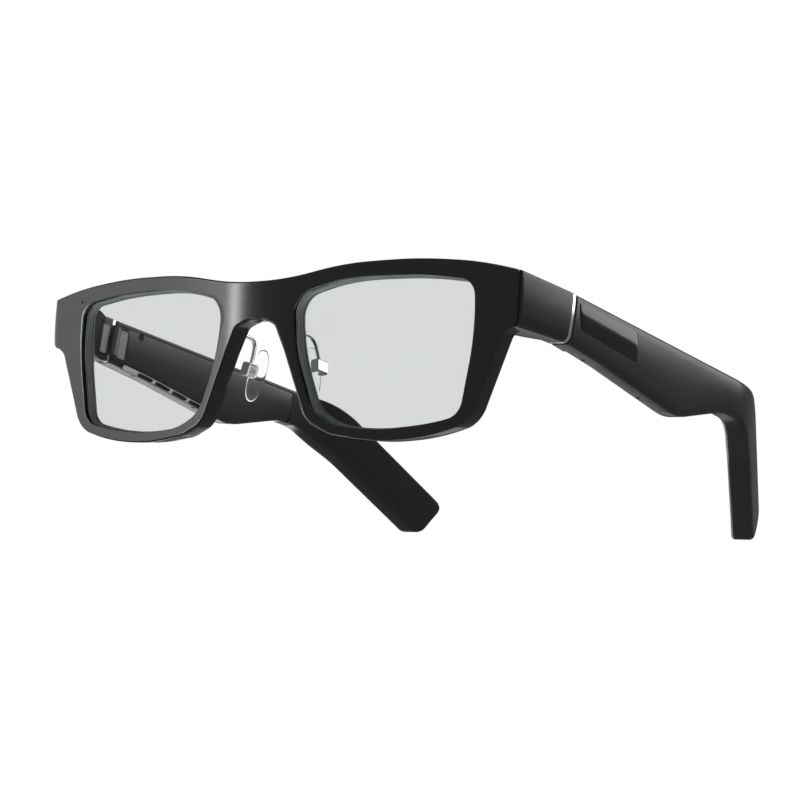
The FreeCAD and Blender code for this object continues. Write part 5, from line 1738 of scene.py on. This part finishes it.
@dataclass
class Studio:
    """Camera, floor, soft lights and a pale surround."""

    camera_place: Corner = (361.13, -375.90, -134.75)
    azimuth: float = 39.618
    elevation: float = -12.045
    roll: float = 8.436
    lens: float = 101.04
    sensor: float = 36.0
    clip: Corner = (0.01, 50.0)
    floor_height: float = -0.30
    floor_half: float = 8.0
    aim_height: float = 0.02
    glossy_level: float = 0.16
    diffuse_level: float = 0.85

    def camera(self) -> None:
        """Sets the camera from its azimuth, elevation and roll in the level drawing frame."""
        angles = (self.azimuth, self.elevation, self.roll)
        azimuth, elevation, roll = (math.radians(value) for value in angles)
        back = np.array([math.sin(azimuth) * math.cos(elevation), -math.cos(azimuth) * math.cos(elevation),
                         math.sin(elevation)])
        right = np.cross(-back, np.array([0.0, 0.0, 1.0]))
        right /= np.linalg.norm(right)
        up = np.cross(right, -back)
        rolled_right = math.cos(roll) * right + math.sin(roll) * up
        rolled_up = -math.sin(roll) * right + math.cos(roll) * up
        axes = [STANCE.aim(axis) for axis in (rolled_right, rolled_up, back)]
        data = bpy.data.cameras.new("view")
        data.lens = self.lens
        data.sensor_width = self.sensor
        data.clip_start, data.clip_end = self.clip
        camera = bpy.data.objects.new("view", data)
        bpy.context.scene.collection.objects.link(camera)
        turn = Matrix([[axes[column][row] for column in range(3)] for row in range(3)])
        camera.matrix_world = (Matrix.Translation(Vector(STANCE.place(np.array(self.camera_place))))
                               @ turn.to_4x4())
        bpy.context.scene.camera = camera

    def floor(self) -> None:
        """A plain pale floor well below the object."""
        size = self.floor_half
        mesh = bpy.data.meshes.new("floor")
        corners = [(-size, -size), (size, -size), (size, size), (-size, size)]
        mesh.from_pydata([(x, y, self.floor_height) for x, y in corners], [], [(0, 1, 2, 3)])
        floor = bpy.data.objects.new("floor", mesh)
        bpy.context.scene.collection.objects.link(floor)
        mesh.materials.append(FLOOR_PAPER.material())
        floor.visible_glossy = False

    def light(self, panel: Panel) -> None:
        """Hangs one panel so that it faces the object's middle; it is seen in reflections only.

        Args:
            panel: its place, size and power.
        """
        data = bpy.data.lights.new(panel.name, "AREA")
        data.shape = "RECTANGLE"
        data.size, data.size_y = panel.size
        data.energy = panel.power
        turn, rise = math.radians(panel.azimuth), math.radians(panel.elevation)
        away = Vector((math.sin(turn) * math.cos(rise), -math.cos(turn) * math.cos(rise), math.sin(rise)))
        light = bpy.data.objects.new(panel.name, data)
        light.visible_camera = light.visible_transmission = False
        bpy.context.scene.collection.objects.link(light)
        turned = away.to_track_quat("Z", "Y").to_matrix().to_4x4()
        place = Vector((0.0, 0.0, self.aim_height)) + away * panel.distance
        light.matrix_world = Matrix.Translation(place) @ turned

    def surround(self) -> None:
        """White where it is seen straight or only through glass, dim where it lights the object."""
        world = bpy.data.worlds.new("surround")
        bpy.context.scene.world = world
        world.use_nodes = True
        nodes, links = world.node_tree.nodes, world.node_tree.links
        nodes.clear()
        path = nodes.new("ShaderNodeLightPath")
        bounced = nodes.new("ShaderNodeMath")
        bounced.operation = "ADD"
        links.new(path.outputs["Diffuse Depth"], bounced.inputs[0])
        links.new(path.outputs["Glossy Depth"], bounced.inputs[1])
        seen = nodes.new("ShaderNodeMath")
        seen.operation = "LESS_THAN"
        seen.inputs[1].default_value = 0.5
        links.new(bounced.outputs[0], seen.inputs[0])
        lit = nodes.new("ShaderNodeMapRange")
        lit.inputs["To Min"].default_value = self.glossy_level
        lit.inputs["To Max"].default_value = self.diffuse_level
        links.new(path.outputs["Is Diffuse Ray"], lit.inputs["Value"])
        dim = nodes.new("ShaderNodeBackground")
        links.new(lit.outputs["Result"], dim.inputs["Strength"])
        bright = nodes.new("ShaderNodeBackground")
        for background in (dim, bright):
            background.inputs["Color"].default_value = (1.0, 1.0, 1.0, 1.0)
        mix = nodes.new("ShaderNodeMixShader")
        output = nodes.new("ShaderNodeOutputWorld")
        links.new(seen.outputs[0], mix.inputs["Fac"])
        links.new(dim.outputs[0], mix.inputs[1])
        links.new(bright.outputs[0], mix.inputs[2])
        links.new(mix.outputs[0], output.inputs["Surface"])

    def build(self) -> None:
        """Sets up the whole studio."""
        self.camera()
        self.floor()
        self.surround()
        for panel in PANELS:
            self.light(panel)
        bpy.context.scene.view_settings.view_transform = "Standard"


def dress_nodes() -> None:
    """Finishes for the CAD nodes that are shown as they are."""
    for name in SIDES:
        dress(INNER_SATIN, name + "_engine_cover")
        dress(GASKET, name + "_lens_gasket")
        dress(ENGINE, name + "_light_engine")
        dress(CAN, name + "_microphone")
        dress(HINGE, name + "_hinge_front_leaf", name + "_hinge_temple_leaf")
        dress(SCREW, name + "_hinge_screw", name + "_hinge_leaf_screws")
        dress(FOIL, name + "_battery")
        dress(SPEAKER, name + "_speaker")
        dress(BOARD, name + "_circuit_board")
        dress(MESH, name + "_speaker_mesh")
        dress(CORE, name + "_tip_core")
        dress(PAD_BOX_METAL, name + "_nose_pad_box")
        dress(WIRE, name + "_nose_pad_pin")
    dress(FLEX, "bridge_flex_cable")
    dress(SCREW, "frame_screws")
    dress(GOLD, "left_charging_contacts")
    dress(SENSOR, "right_wear_sensor")


def main() -> None:
    """Builds every piece in order."""
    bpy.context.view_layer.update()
    Studio().build()
    outline = FrontOutline()
    dress_nodes()
    FrontFrame(outline).build()
    Ports(outline).build()
    block, lenses, temple, pad = SideBlock(outline.plane), Lenses(outline), Temple(), NosePad()
    for name, side in SIDES.items():
        block.build(name, side)
        lenses.build(name, side)
        temple.build(name, side)
        pad.build(name, side)


if __name__ == "__main__":
    main()
